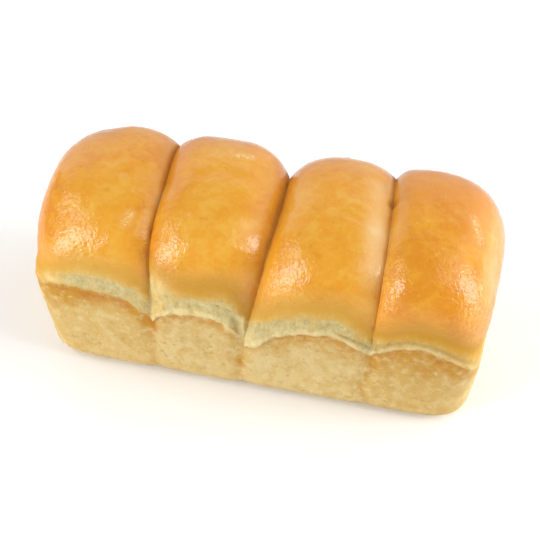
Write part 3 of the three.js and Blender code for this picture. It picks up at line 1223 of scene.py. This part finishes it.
@dataclass(frozen=True)
class ColourSpread:
    """How the skin's colours are spread.

    Lengths are in millimetres: below the ledge for the toast, from a seam for the stains, and over its edge
    for the crust. The bake, the crinkle and the rear's brown are spread round the girth. A bell is given by
    its middle and its width, and all other pairs by where they begin and where they are full.
    """

    edge: Grain = Grain(14, 1, 1.5)
    crust_over: Span = (-4.0, 4.0)
    toast: Grain = Grain(16, 12, 0.35)
    toast_below: Span = (-2.2, 2.2)
    toast_fade: Span = (0.2, 1.1)
    toast_line: float = 0.24
    toast_line_bell: Span = (3.6, 2.8)
    stain_bell: Span = (0.0, 3.2)
    stain_below: Span = (-0.5, 2.5)
    lip_gain: float = 1.4
    crease_share: Span = (0.86, 0.99)
    # Painted shade in the furrow over the lip, as a share of its depth.
    furrow_shade: float = 0.75
    rear_bake: float = 0.35
    rear_bake_girth: Span = (-0.1, 0.5)
    crinkle_bell: Span = (-0.42, 0.2)
    # Heights in millimetres over which the painted floor bounce light fades out.
    floor_bounce_height: Span = (3.0, 45.0)
    rear_brown: float = 0.2
    rear_brown_girth: Span = (0.12, 0.42)
    rear_edge: float = 0.16
    rear_edge_girth: Span = (0.27, 0.4)
    rear_over: Span = (0.0, 12.0)


@dataclass
class Loaf:
    """The whole loaf as one closed skin."""

    sizes: LoafSizes = field(default_factory=LoafSizes)
    grid: GridSizes = field(default_factory=GridSizes)
    rough: ReliefSizes = field(default_factory=ReliefSizes)
    spread: ColourSpread = field(default_factory=ColourSpread)
    finish: BreadFinish = field(default_factory=BreadFinish)
    crust_edge: tuple[Knots, ...] = (
        (3, 10, 19, 21, 21, 19),
        (38, 23.5, 18.5, 20, 25, 20),
        (24, 21, 19.5, 18.5, 18, 12),
        (12, 8.5, 8, 8, 8.5, 9),
    )
    toast_strength: tuple[Knots, ...] = (
        (0.7, 1.2, 1.1, 0.9, 1.15),
        (0.9, 1.0, 0.9, 0.75, 0.2),
        (0.5, 0.8, 0.9, 0.75, 0.7),
        (0.9, 1.05, 1.15, 1.15, 0.7),
    )
    toast_height: tuple[Knots, ...] = (
        (19, 25, 19, 13, 18),
        (16, 17, 17, 16, 8),
        (12, 20, 24, 22, 16),
        (22, 27, 34, 30, 15),
    )
    tan: tuple[Knots, ...] = (
        (1.0, 0.65, 0.55, 0.6, 0.8),
        (0.4, 0.2, 0.2, 0.2, 0.4),
        (0.2, 0.0, 0.0, 0.0, 0.3),
        (0.8, 1.1, 1.2, 0.8, -0.1),
    )
    toast_start: tuple[Knots, ...] = (
        (2.5, 2.5, 2.4, 2.2, 1.5),
        (1.0, 0.0, 0.0, 0.0, 0.0),
        (0.0, 0.0, 0.0, 0.0, 0.0),
        (0.0, 0.5, 0.8, 0.8, 1.0),
    )
    gold: tuple[Knots, ...] = (
        (1.0, 0.65, 0.15, 0.0, 0.3),
        (0.9, 0.3, 0.0, -0.2, -0.4),
        (0.3, 0.1, 0.0, 0.1, 0.2),
        (0.2, 0.5, 0.5, 0.6, 0.8),
    )
    # How deeply each lobe's crust is baked; the high values at the left ends of the first two lobes and the
    # raised value at the fourth lobe's right end also darken flanks that the lamps light more, as painted
    # shade.
    bake_and_shade: tuple[Knots, ...] = (
        (1.00, 0.50, 0.30, 0.35, 0.6),
        (1.00, 0.45, 0.25, 0.30, 0.6),
        (0.45, 0.40, 0.35, 0.30, 0.5),
        (0.60, 0.72, 0.80, 0.80, 0.7),
    )
    # How much painted shade darkens each lobe's low crust.
    low_shade: tuple[Knots, ...] = (
        (0.0, 0.0, 0.1, 0.2, 0.4),
        (0.4, 0.8, 1.0, 1.0, 0.9),
        (0.4, 0.4, 0.35, 0.4, 0.5),
        (0.6, 0.8, 1.0, 1.0, 1.0),
    )
    # How deep the furrow over the lip is on each lobe; its olive painted shade follows it.
    furrow: tuple[Knots, ...] = (
        (0.0, 0.0, 0.0, 0.0, 0.0),
        (0.0, 0.0, 0.0, 0.0, 0.0),
        (0.0, 0.0, 0.0, 0.1, 0.3),
        (0.5, 0.8, 0.9, 0.9, 0.3),
    )
    crinkle: tuple[Knots, ...] = (
        (0.5, 1.0, 0.7, 0.3, 0.1),
        (0.6, 1.0, 0.3, 0.8, 0.3),
        (0.9, 1.1, 0.5, 0.3, 0.3),
        (1.1, 1.2, 0.9, 1.1, 1.1),
    )
    marks: tuple[Mark, ...] = (
        Mark((-98.3, -20.3, 125.2), 1.5, brown=0.35),
        Mark((-130.5, -18.8, 117.9), 1.8, brown=0.45),
        # Painted shade on the flank beside the first seam.
        Mark((-66.3, -37.5, 111.4), 3.0, brown=0.4),
        Mark((-65.8, -46.9, 102.9), 3.5, brown=0.4),
        Mark((-55.8, -16.0, 123.8), 1.4, brown=0.35),
        Mark((-32.8, -32.6, 126.0), 1.4, brown=0.3),
        Mark((23.2, -28.9, 122.6), 1.3, brown=0.3),
        Mark((31.7, -36.7, 122.4), 1.3, brown=0.3),
        Mark((38.1, -42.2, 120.7), 1.3, brown=0.3),
        Mark((32.8, 26.2, 124.8), 2.0, brown=0.35),
        Mark((125.1, 1.8, 121.4), 1.8, dip=0.3, brown=0.6),
        Mark((129.6, -7.3, 118.5), 1.8, dip=0.3, brown=0.6),
        Mark((120.6, -56.4, 95.7), 5.0, (124.7, -56.2, 86.0), brown=0.28),
        Mark((46.8, 27.9, 124.9), 8.0, brown=0.2),
        Mark((65.2, 22.6, 121.9), 4.0, brown=0.3),
        Mark((69.4, 40.3, 113.1), 5.0, brown=0.6),
        Mark((72.3, 10.7, 118.9), 3.0, dip=0.8, brown=0.7),
        Mark((78.5, 25.0, 120.5), 4.5, (77.5, 12.0, 121.5), brown=0.45),
        Mark((1.2, -51.0, 77.7), 1.8, brown=0.5),
        # Painted glints on the first two lobes and a painted highlight streak on the first.
        Mark((-82.4, -17.6, 124.4), 1.2, pale=0.6),
        Mark((-44.4, -31.0, 125.5), 1.3, pale=0.5),
        Mark((-80.3, -36.5, 120.7), 4.0, pale=0.25),
        Mark((-91.9, -3.5, 125.9), 3.0, dip=0.5),
        Mark((-102.5, 39.9, 119.5), 9.0, dip=-1.0),
        Mark((-11.1, -47.6, 115.3), 1.6, dip=0.5, brown=0.3),
        Mark((44.8, -9.1, 126.5), 1.8, (55.6, -12.6, 125.6), dip=0.35),
        Mark((55.6, -12.6, 125.6), 1.8, (66.5, -14.3, 123.0), dip=0.35),
        Mark((100.9, -39.9, 123.1), 2.0, dip=0.4),
        # Painted highlights: crinkled glints on the first lobe and a reflection on the second lobe's rear.
        Mark((-79.6, -33.5, 121.0), 2.5, (-81.0, -41.6, 118.5), pale=0.55, crinkle=1.4),
        Mark((-75.2, -17.7, 121.6), 5.0, (-67.5, -47.4, 105.2), crinkle=1.0),
        Mark((-26.6, 23.0, 127.9), 2.2, (-18.2, 24.6, 127.3), pale=0.95, crinkle=1.2),
        Mark((-26.2, 17.9, 128.4), 1.4, (-14.5, 19.5, 127.1), dip=0.4),
        # Painted glints along the fourth lobe's right side and a painted sheen down its right flank.
        Mark((122.1, 7.3, 122.4), 2.6, (128.1, -7.2, 118.8), pale=0.65, crinkle=1.4),
        Mark((131.0, 15.0, 112.0), 10.0, (137.0, -20.0, 104.0), pale=0.2),
        Mark((137.0, -20.0, 104.0), 10.0, (134.0, -48.0, 92.0), pale=0.2),
        Mark((136.0, -38.0, 52.0), 12.0, (134.0, -34.0, 26.0), pale=0.2),
        # A painted sheen down the third lobe's right flank.
        Mark((62.0, 20.0, 124.0), 7.0, (67.0, -16.0, 123.0), pale=0.48),
        Mark((67.0, -16.0, 123.0), 7.5, (70.0, -44.0, 112.0), pale=0.58),
        Mark((-129.0, -55.2, 77.5), 2.6, (-124.7, -57.3, 76.4), pale=0.6),
        Mark((-132.4, -51.6, 67.0), 2.2, (-124.0, -58.5, 71.0), toast=0.8),
        Mark((-124.0, -59.0, 72.5), 1.5, (-114.8, -59.8, 72.0), toast=0.5),
        Mark((-112.0, -59.5, 72.6), 1.7, (-88.0, -60.0, 71.8), toast=0.55),
        Mark((-118.5, -57.5, 81.2), 2.2, olive=0.45),
        Mark((-96.3, -60.6, 74.2), 1.4, pale=0.6),
        Mark((-90.3, -60.1, 74.2), 1.4, pale=0.6),
        Mark((-106.1, -57.7, 66.4), 4.0, (-95.6, -57.9, 67.3), brown=0.42),
        Mark((-84.1, -58.5, 66.0), 3.0, (-79.0, -58.5, 64.5), brown=0.38),
        Mark((-117.4, -56.3, 56.0), 4.0, (-103.1, -57.3, 57.0), toast=0.3),
        Mark((-75.5, -57.8, 61.0), 5.0, (-63.0, -56.0, 48.0), toast=0.45),
        Mark((-63.3, -55.9, 51.7), 2.4, (-60.9, -55.8, 44.2), brown=0.5),
        Mark((-60.1, -56.1, 77.0), 1.8, (-59.0, -56.6, 69.0), dip=0.8),
        Mark((-56.6, -57.0, 88.4), 7.0, pale=0.4),
        Mark((-67.8, -10.0, 118.0), 3.0, (-68.3, -24.0, 113.0), pale=0.45),
        Mark((-36.5, -60.1, 71.8), 1.5, dip=1.0, toast=0.3),
        Mark((-45.5, -59.8, 71.3), 1.8, (-39.3, -59.8, 72.2), dip=-0.4, pale=0.7),
        Mark((-33.5, -59.8, 72.3), 1.9, (-22.5, -59.7, 70.2), dip=-0.4, pale=0.7),
        # A fold at the second seam, dipped and darkened with olive painted shade.
        Mark((-12.0, -57.0, 75.6), 1.6, (-8.3, -57.7, 57.2), dip=0.7, olive=0.2),
        Mark((-15.1, -58.6, 68.1), 2.0, (-14.7, -57.9, 57.4), dip=-0.9, pale=0.45),
        Mark((-5.6, -55.2, 67.1), 2.2, (-4.8, -55.1, 56.4), dip=-1.1, pale=0.5),
        Mark((0.8, -57.4, 53.5), 6.0, dip=-1.5, pale=0.6),
        Mark((-6.8, -55.3, 33.0), 3.2, (-6.2, -55.0, 24.6), toast=0.28),
        # Olive painted shade in the furrow over the third lobe's lip.
        Mark((54.1, -59.6, 73.9), 1.3, (63.8, -59.1, 70.3), dip=0.5, olive=0.5),
        Mark((63.8, -59.1, 70.3), 1.3, (73.4, -56.8, 64.4), dip=0.5, olive=0.5),
        Mark((75.9, -55.9, 55.3), 2.3, (75.7, -55.6, 45.6), toast=0.5),
        Mark((75.7, -55.6, 45.6), 2.2, (72.0, -55.4, 36.5), toast=0.42),
        Mark((72.0, -55.4, 36.5), 2.2, (69.9, -54.9, 26.0), toast=0.4),
        Mark((69.9, -54.9, 26.0), 2.4, (71.5, -54.3, 11.5), toast=0.32),
        Mark((125.3, -55.9, 70.7), 2.2, (129.7, -53.6, 67.2), olive=0.4),
        Mark((114.9, -57.1, 62.8), 2.2, dip=0.3, brown=0.75),
        Mark((117.8, -56.6, 57.5), 1.5, brown=0.5),
        Mark((107.4, -57.1, 54.7), 2.6, (107.3, -56.7, 46.1), brown=0.2),
        Mark((87.8, -57.7, 61.2), 2.4, brown=0.3),
        Mark((120.6, -56.1, 56.3), 1.5, (129.3, -52.9, 46.9), brown=0.4),
    )
    band_pits: tuple[Place, ...] = (
        (-95.7, -58.4, 82.2), (-103.6, -58.5, 81.0), (-108.1, -58.8, 79.2), (-93.5, -59.0, 78.1),
        (-37.8, -59.1, 75.7), (-45.8, -58.8, 75.4), (-20.5, -58.3, 79.0), (4.7, -56.8, 63.5),
        (10.6, -58.6, 65.4), (17.6, -58.6, 71.5), (18.1, -58.4, 75.0), (35.1, -58.4, 80.2),
        (38.1, -59.8, 74.5), (45.7, -59.2, 77.5), (49.6, -58.6, 80.6), (59.2, -59.5, 71.5),
        (87.9, -58.7, 76.1), (85.0, -59.0, 72.1),
    )
    wall_pores: tuple[Place, ...] = (
        (-103.7, -55.7, 23.5), (-89.6, -56.9, 46.4), (-82.9, -56.2, 31.0), (-43.1, -56.6, 38.0),
        (-33.7, -56.8, 42.0), (-30.8, -56.4, 33.9), (-29.0, -56.2, 30.7), (-31.0, -55.4, 14.7),
        (-57.7, -55.4, 25.2), (-14.2, -56.7, 36.9), (-62.3, -55.2, 32.9), (58.3, -57.3, 51.4),
        (52.4, -56.1, 29.3), (59.7, -56.3, 31.3), (18.5, -55.4, 14.5), (27.6, -55.3, 13.1),
        (99.2, -57.2, 55.0), (104.7, -57.3, 58.4), (111.8, -56.9, 54.1), (116.1, -56.3, 48.2),
        (122.9, -54.6, 36.4), (89.7, -56.1, 30.1), (87.7, -56.9, 43.5), (100.5, -56.8, 46.4),
    )

    def add_box_grid(self) -> bpy.types.Object:
        """Adds a box of six grids, 2 units a side, joined and closed.

        Returns:
            The box as one mesh object.
        """
        bpy.ops.object.select_all(action="DESELECT")
        columns = self.sizes.lobes * self.grid.lobe_columns
        across, levels = self.grid.rows_across, self.grid.levels
        quarter = math.pi / 2
        faces = [
            (columns, across, (0, 0, 1), (0, 0, 0)),
            (columns, across, (0, 0, -1), (math.pi, 0, 0)),
            (columns, levels, (0, -1, 0), (quarter, 0, 0)),
            (columns, levels, (0, 1, 0), (-quarter, 0, 0)),
            (levels, across, (1, 0, 0), (0, quarter, 0)),
            (levels, across, (-1, 0, 0), (0, -quarter, 0)),
        ]
        sides = []
        for x_parts, y_parts, place, turn in faces:
            bpy.ops.mesh.primitive_grid_add(
                x_subdivisions=x_parts, y_subdivisions=y_parts, size=2, location=place, rotation=turn
            )
            sides.append(bpy.context.object)
        for side in sides:
            side.select_set(True)
        bpy.context.view_layer.objects.active = sides[0]
        bpy.ops.object.join()
        bpy.ops.object.transform_apply(location=True, rotation=True, scale=True)
        bpy.ops.object.mode_set(mode="EDIT")
        bpy.ops.mesh.select_all(action="SELECT")
        bpy.ops.mesh.remove_doubles(threshold=self.grid.weld)
        bpy.ops.mesh.normals_make_consistent(inside=False)
        bpy.ops.object.mode_set(mode="OBJECT")
        return bpy.context.object

    def read_points(self, piece: bpy.types.Object, name: str) -> np.ndarray:
        """Reads the piece's points.

        Args:
            piece: the mesh object.
            name: what is read of each point: co for its place, or normal.

        Returns:
            One row a point.
        """
        rows = np.zeros(len(piece.data.vertices) * 3)
        piece.data.vertices.foreach_get(name, rows)
        return rows.reshape(-1, 3)

    def write_places(self, piece: bpy.types.Object, places_mm: np.ndarray) -> None:
        """Moves the piece's points to places given in millimetres."""
        piece.data.vertices.foreach_set("co", (places_mm * MM).ravel())
        piece.data.update()

    def relief(self, skin: Skin, crust: np.ndarray) -> np.ndarray:
        """Works out the fine unevenness of the skin.

        Args:
            skin: the points and where they lie.
            crust: how far the crust covers each point.

        Returns:
            How far each point stands out, in millimetres.
        """
        p, r = skin.place, self.rough
        wall = (skin.zone == Zone.WALL.value) * pile(r.wall, p)
        torn_edge = np.clip(skin.by_lobe(self.sizes.lip_strength) + r.lip_least, 0, 1)
        lip = torn_edge * bell(skin.lift, *r.lip_bell) * pile(r.lip, p)
        folds = r.folds.at(p) * (r.fold_least + r.fold_gain * smoothstep(skin.seam_gap, *r.fold_gap))
        band = smoothstep(skin.lift, *r.band_start) * (1 - crust) * (folds + r.fibres.at(p))
        crown = crust * pile(r.crown, p)
        dips = self.marked(skin, "dip") + self.furrows(skin)
        proud = pile(r.slow, p) + wall + lip + band + crown + self.blisters(skin, crust) - dips
        return (skin.zone != Zone.BASE.value) * proud

    def blisters(self, skin: Skin, crust: np.ndarray) -> np.ndarray:
        """Scatters low blisters and dimples over the glaze.

        Args:
            skin: the points and where they lie.
            crust: how far the crust covers each point.

        Returns:
            How far each point stands out, in millimetres.
        """
        r = self.rough
        rng = np.random.default_rng(r.seed)
        heights = np.zeros(len(skin.place))
        spots = np.flatnonzero((crust > r.blister_crust) & (skin.seam_gap > r.blister_gap))
        for spot in rng.choice(spots, r.blister_count, replace=False):
            radius, height = rng.uniform(*r.blister_radius), rng.uniform(*r.blister_height)
            away = ((skin.place - skin.place[spot]) ** 2).sum(1)
            heights += height * np.exp(-away / (radius / r.blister_taper) ** 2)
        return heights

    def furrows(self, skin: Skin) -> np.ndarray:
        """How deep the furrow over the lip is at each point."""
        return skin.by_lobe(self.furrow) * bell(skin.lift, *self.rough.furrow_bell)

    def near(self, places: np.ndarray, mark: Mark) -> np.ndarray:
        """How close each place is to a mark.

        Args:
            places: places in millimetres, one row each.
            mark: a spot or a streak.

        Returns:
            1 in the mark's middle, falling to 0 round it.
        """
        start = np.array(mark.place)
        run = np.array(mark.to or mark.place) - start
        share = np.clip((places - start) @ run / max(run @ run, TINY), 0, 1)
        return np.exp(-((places - start - share[:, None] * run) ** 2).sum(1) / mark.radius ** 2)

    def marked(self, skin: Skin, name: str) -> np.ndarray:
        """Adds up one field of all marks, pits and pores.

        Args:
            skin: the points and where they lie.
            name: the field, such as brown.

        Returns:
            The sum at each point.
        """
        r = self.rough
        pits = [Mark(place, r.pit_radius, dip=r.pit_dip, olive=r.pit_olive) for place in self.band_pits]
        pores = [Mark(place, r.pore_radius, dip=r.pore_dip, olive=r.pore_olive) for place in self.wall_pores]
        total = np.zeros(len(skin.lift))
        for mark in [*self.marks, *pits, *pores]:
            strength = getattr(mark, name)
            if strength:
                total += strength * self.near(skin.place, mark)
        return total

    def toasted(self, skin: Skin, started: np.ndarray) -> np.ndarray:
        """Works out the toasted strip under the ledge and the stains down the seams.

        Args:
            skin: the points and where they lie.
            started: how far each point is below the strip's start.

        Returns:
            The strength of the toasted colour at each point.
        """
        c = self.spread
        below = -skin.lift
        height = skin.by_lobe(self.toast_height) * (1 + c.toast.at(skin.place))
        strip = skin.by_lobe(self.toast_strength) * smoothstep(started, *c.toast_below)
        strip *= 1 - smoothstep(below / height, *c.toast_fade)
        stains = np.zeros(len(below))
        for number, seam in enumerate(self.sizes.seams):
            stains += (skin.seam == number) * curve(self.sizes.wall_girth, seam.stain, -np.abs(skin.girth))
        stains *= bell(skin.seam_gap, *c.stain_bell) * smoothstep(below, *c.stain_below)
        return np.maximum(strip, stains)

    def browned(self, skin: Skin, over_edge: np.ndarray, started: np.ndarray) -> np.ndarray:
        """Works out the browner rear of the crown and the brown line where the toasted strip starts.

        Args:
            skin: the points and where they lie.
            over_edge: how far each point is over the crust's edge.
            started: how far it is below the toasted strip's start.

        Returns:
            The strength of the brown colour at each point.
        """
        c = self.spread
        rear = c.rear_brown * smoothstep(skin.girth, *c.rear_brown_girth)
        rear = rear + c.rear_edge * smoothstep(skin.girth, *c.rear_edge_girth)
        rear *= smoothstep(over_edge, *c.rear_over)
        return rear + c.toast_line * skin.by_lobe(self.toast_strength) * bell(started, *c.toast_line_bell)

    def masks(self, skin: Skin, over_edge: np.ndarray) -> dict[str, np.ndarray]:
        """Gathers all that the material reads about where each point lies.

        Args:
            skin: the points and where they lie.
            over_edge: how far each point is over the crust's edge.

        Returns:
            Each mask under the name that the material reads.
        """
        c = self.spread
        started = skin.by_lobe(self.toast_start) - skin.lift
        facing = bell(skin.girth, *c.crinkle_bell)
        masks = {
            "over_edge": over_edge,
            "lift": skin.lift,
            "lip": c.lip_gain * skin.by_lobe(self.sizes.lip_strength),
            "toast": self.toasted(skin, started),
            # Brown and painted shade in the seams.
            "seam": skin.seam_brown_shade,
            "crease": smoothstep(skin.seam_share, *c.crease_share),
            # Olive painted shade in the furrow over the lip.
            "olive": c.furrow_shade * self.furrows(skin),
            "bake_and_shade": skin.by_lobe(self.bake_and_shade) + c.rear_bake * smoothstep(skin.girth, *c.rear_bake_girth),
            "crinkle": facing * skin.by_lobe(self.crinkle),
            "tan": skin.by_lobe(self.tan),
            "gold": skin.by_lobe(self.gold),
            # Painted shade on the low crust.
            "low_shade": skin.by_lobe(self.low_shade),
            # Painted light bounced from the floor, strongest at the base.
            "low": 1 - smoothstep(skin.place[:, 2], *c.floor_bounce_height),
            "brown": self.browned(skin, over_edge, started),
            "pale": np.zeros(len(skin.lift)),
        }
        for name in ("toast", "olive", "crinkle", "brown", "pale"):
            masks[name] = masks[name] + self.marked(skin, name)
        return masks

    def keep(self, piece: bpy.types.Object, name: str, numbers: np.ndarray) -> None:
        """Keeps a number a point on the mesh for the material."""
        kept = piece.data.attributes.new(name, "FLOAT", "POINT")
        kept.data.foreach_set("value", numbers.astype(np.float32))

    def build(self) -> bpy.types.Object:
        """Makes the loaf's skin, its relief, its masks and its material.

        Returns:
            The finished piece.
        """
        piece = self.add_box_grid()
        piece.name = piece.data.name = "baked_loaf"
        box = self.read_points(piece, "co")
        form = LoafForm(self.sizes, self.grid)
        along = np.clip(form.columns((box[:, 0] + 1) / 2 * self.sizes.lobes), 0, self.sizes.lobes)
        across = form.rows(np.clip(box[:, 1], -1, 1))
        skin = form.skin(along, across, np.round((box[:, 2] + 1) / 2 * self.grid.levels))
        self.write_places(piece, skin.place)
        over_edge = skin.lift - skin.by_lobe(self.crust_edge) - self.spread.edge.at(skin.place)
        crust = smoothstep(over_edge, *self.spread.crust_over)
        places = skin.place + self.read_points(piece, "normal") * self.relief(skin, crust)[:, None]
        places[:, 2] += pile(self.rough.lip_wave, skin.place) * bell(skin.lift, *self.rough.lip_wave_bell)
        places[:, 2] = np.maximum(places[:, 2], 0)
        self.write_places(piece, places)
        for name, numbers in self.masks(skin, over_edge).items():
            self.keep(piece, name, numbers)
        bpy.ops.object.select_all(action="DESELECT")
        piece.select_set(True)
        bpy.context.view_layer.objects.active = piece
        bpy.ops.object.shade_smooth()
        piece.data.materials.clear()
        piece.data.materials.append(BakedSkin(self.finish).build())
        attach(piece, "root")
        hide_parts("loaf")
        log.info("baked_loaf: %d points", len(piece.data.vertices))
        return piece


@dataclass(frozen=True)
class SoftLight:
    """One soft studio light, aimed at the loaf: its angles in degrees, its sizes in metres and its watts."""

    name: str
    azimuth: float
    elevation: float
    distance: float
    width: float
    height: float
    power: float


@dataclass
class Studio:
    """The pale floor, the soft lights and the camera."""

    azimuth: float = 12.69
    elevation: float = 46.93
    roll: float = 0.35
    distance: float = 1.0
    focal_px: float = 1578.0
    frame_px: float = 540.0
    middle_px: Span = (271.18, 265.13)
    target: Place = (-0.00045, 0.0, 0.060)
    sensor_mm: float = 36.0
    clip: Span = (0.05, 20.0)
    light_aim: Place = (0.0, 0.0, 0.06)
    floor_size: float = 12.0
    floor_colour: Colour = (0.95, 0.95, 0.95)
    floor_roughness: float = 0.9
    world_colour: Colour = (1.0, 1.0, 1.0)
    world_strength: float = 0.34
    lights: tuple[SoftLight, ...] = (
        SoftLight("left_window", -47, 19, 1.5, 0.55, 1.15, 17.0),
        SoftLight("left_upper", -84, 42, 1.5, 0.6, 0.5, 4.0),
        SoftLight("right_window", 90, 17, 1.5, 0.7, 1.1, 18.0),
        SoftLight("right_upper", 98, 50, 1.5, 1.6, 0.9, 8.0),
        SoftLight("back_wall", 180, 22, 1.8, 5.0, 1.5, 21.5),
    )

    def axes(self, azimuth: float, elevation: float) -> tuple[Vector, Vector, Vector]:
        """Works out which way a view faces.

        Args:
            azimuth: degrees to the right of the front.
            elevation: degrees above level.

        Returns:
            The directions back to the viewer, right and up.
        """
        a, e = math.radians(azimuth), math.radians(elevation)
        back = Vector((math.sin(a) * math.cos(e), -math.cos(a) * math.cos(e), math.sin(e)))
        right = Vector((math.cos(a), math.sin(a), 0.0))
        return back, right, back.cross(right)

    def add_camera(self) -> None:
        """Adds the camera at the photograph's viewing angle and makes it the scene's."""
        back, right, up = self.axes(self.azimuth, self.elevation)
        scale = self.distance / self.focal_px
        aside = (self.frame_px / 2 - self.middle_px[0]) * scale
        above = (self.middle_px[1] - self.frame_px / 2) * scale
        aim = Vector(self.target) + right * aside + up * above
        data = bpy.data.cameras.new("camera")
        data.sensor_width = self.sensor_mm
        data.lens = self.focal_px / self.frame_px * data.sensor_width
        data.clip_start, data.clip_end = self.clip
        camera = bpy.data.objects.new("camera", data)
        bpy.context.scene.collection.objects.link(camera)
        camera.location = aim + back * self.distance
        turn = (-back).to_track_quat("-Z", "Y").to_matrix()
        camera.rotation_euler = (turn @ Matrix.Rotation(math.radians(self.roll), 3, "Z")).to_euler()
        bpy.context.scene.camera = camera

    def add_light(self, light: SoftLight) -> None:
        """Adds one area light that faces the loaf.

        Args:
            light: where it stands, how large it is and how bright.
        """
        back, _, _ = self.axes(light.azimuth, light.elevation)
        data = bpy.data.lights.new(light.name, "AREA")
        data.shape = "RECTANGLE"
        data.size, data.size_y = light.width, light.height
        data.energy = light.power
        lamp = bpy.data.objects.new(light.name, data)
        bpy.context.scene.collection.objects.link(lamp)
        lamp.location = Vector(self.light_aim) + back * light.distance
        lamp.rotation_euler = (-back).to_track_quat("-Z", "Y").to_euler()
        log.info("%s: %.1f W", light.name, light.power)

    def add_floor(self) -> None:
        """Adds the pale floor that the loaf stands on."""
        bpy.ops.object.select_all(action="DESELECT")
        bpy.ops.mesh.primitive_plane_add(size=self.floor_size)
        floor = bpy.context.object
        floor.name = "floor"
        looks = {"Base Color": self.floor_colour, "Roughness": self.floor_roughness}
        floor.data.materials.append(Shader("pale_floor").finish(looks))

    def add_world(self) -> None:
        """Adds the pale light from all sides."""
        world = bpy.data.worlds.new("pale_room")
        world.use_nodes = True
        background = world.node_tree.nodes["Background"]
        background.inputs["Color"].default_value = (*self.world_colour, 1.0)
        background.inputs["Strength"].default_value = self.world_strength
        bpy.context.scene.world = world

    def build(self) -> None:
        """Sets the stage."""
        self.add_camera()
        self.add_floor()
        for light in self.lights:
            self.add_light(light)
        self.add_world()
        bpy.context.scene.view_settings.view_transform = "Standard"
        log.info("studio ready")


def main() -> None:
    """Builds the studio and the loaf."""
    logging.basicConfig(level=logging.INFO, format="%(name)s %(message)s")
    Studio().build()
    Loaf().build()


if __name__ == "__main__":
    main()
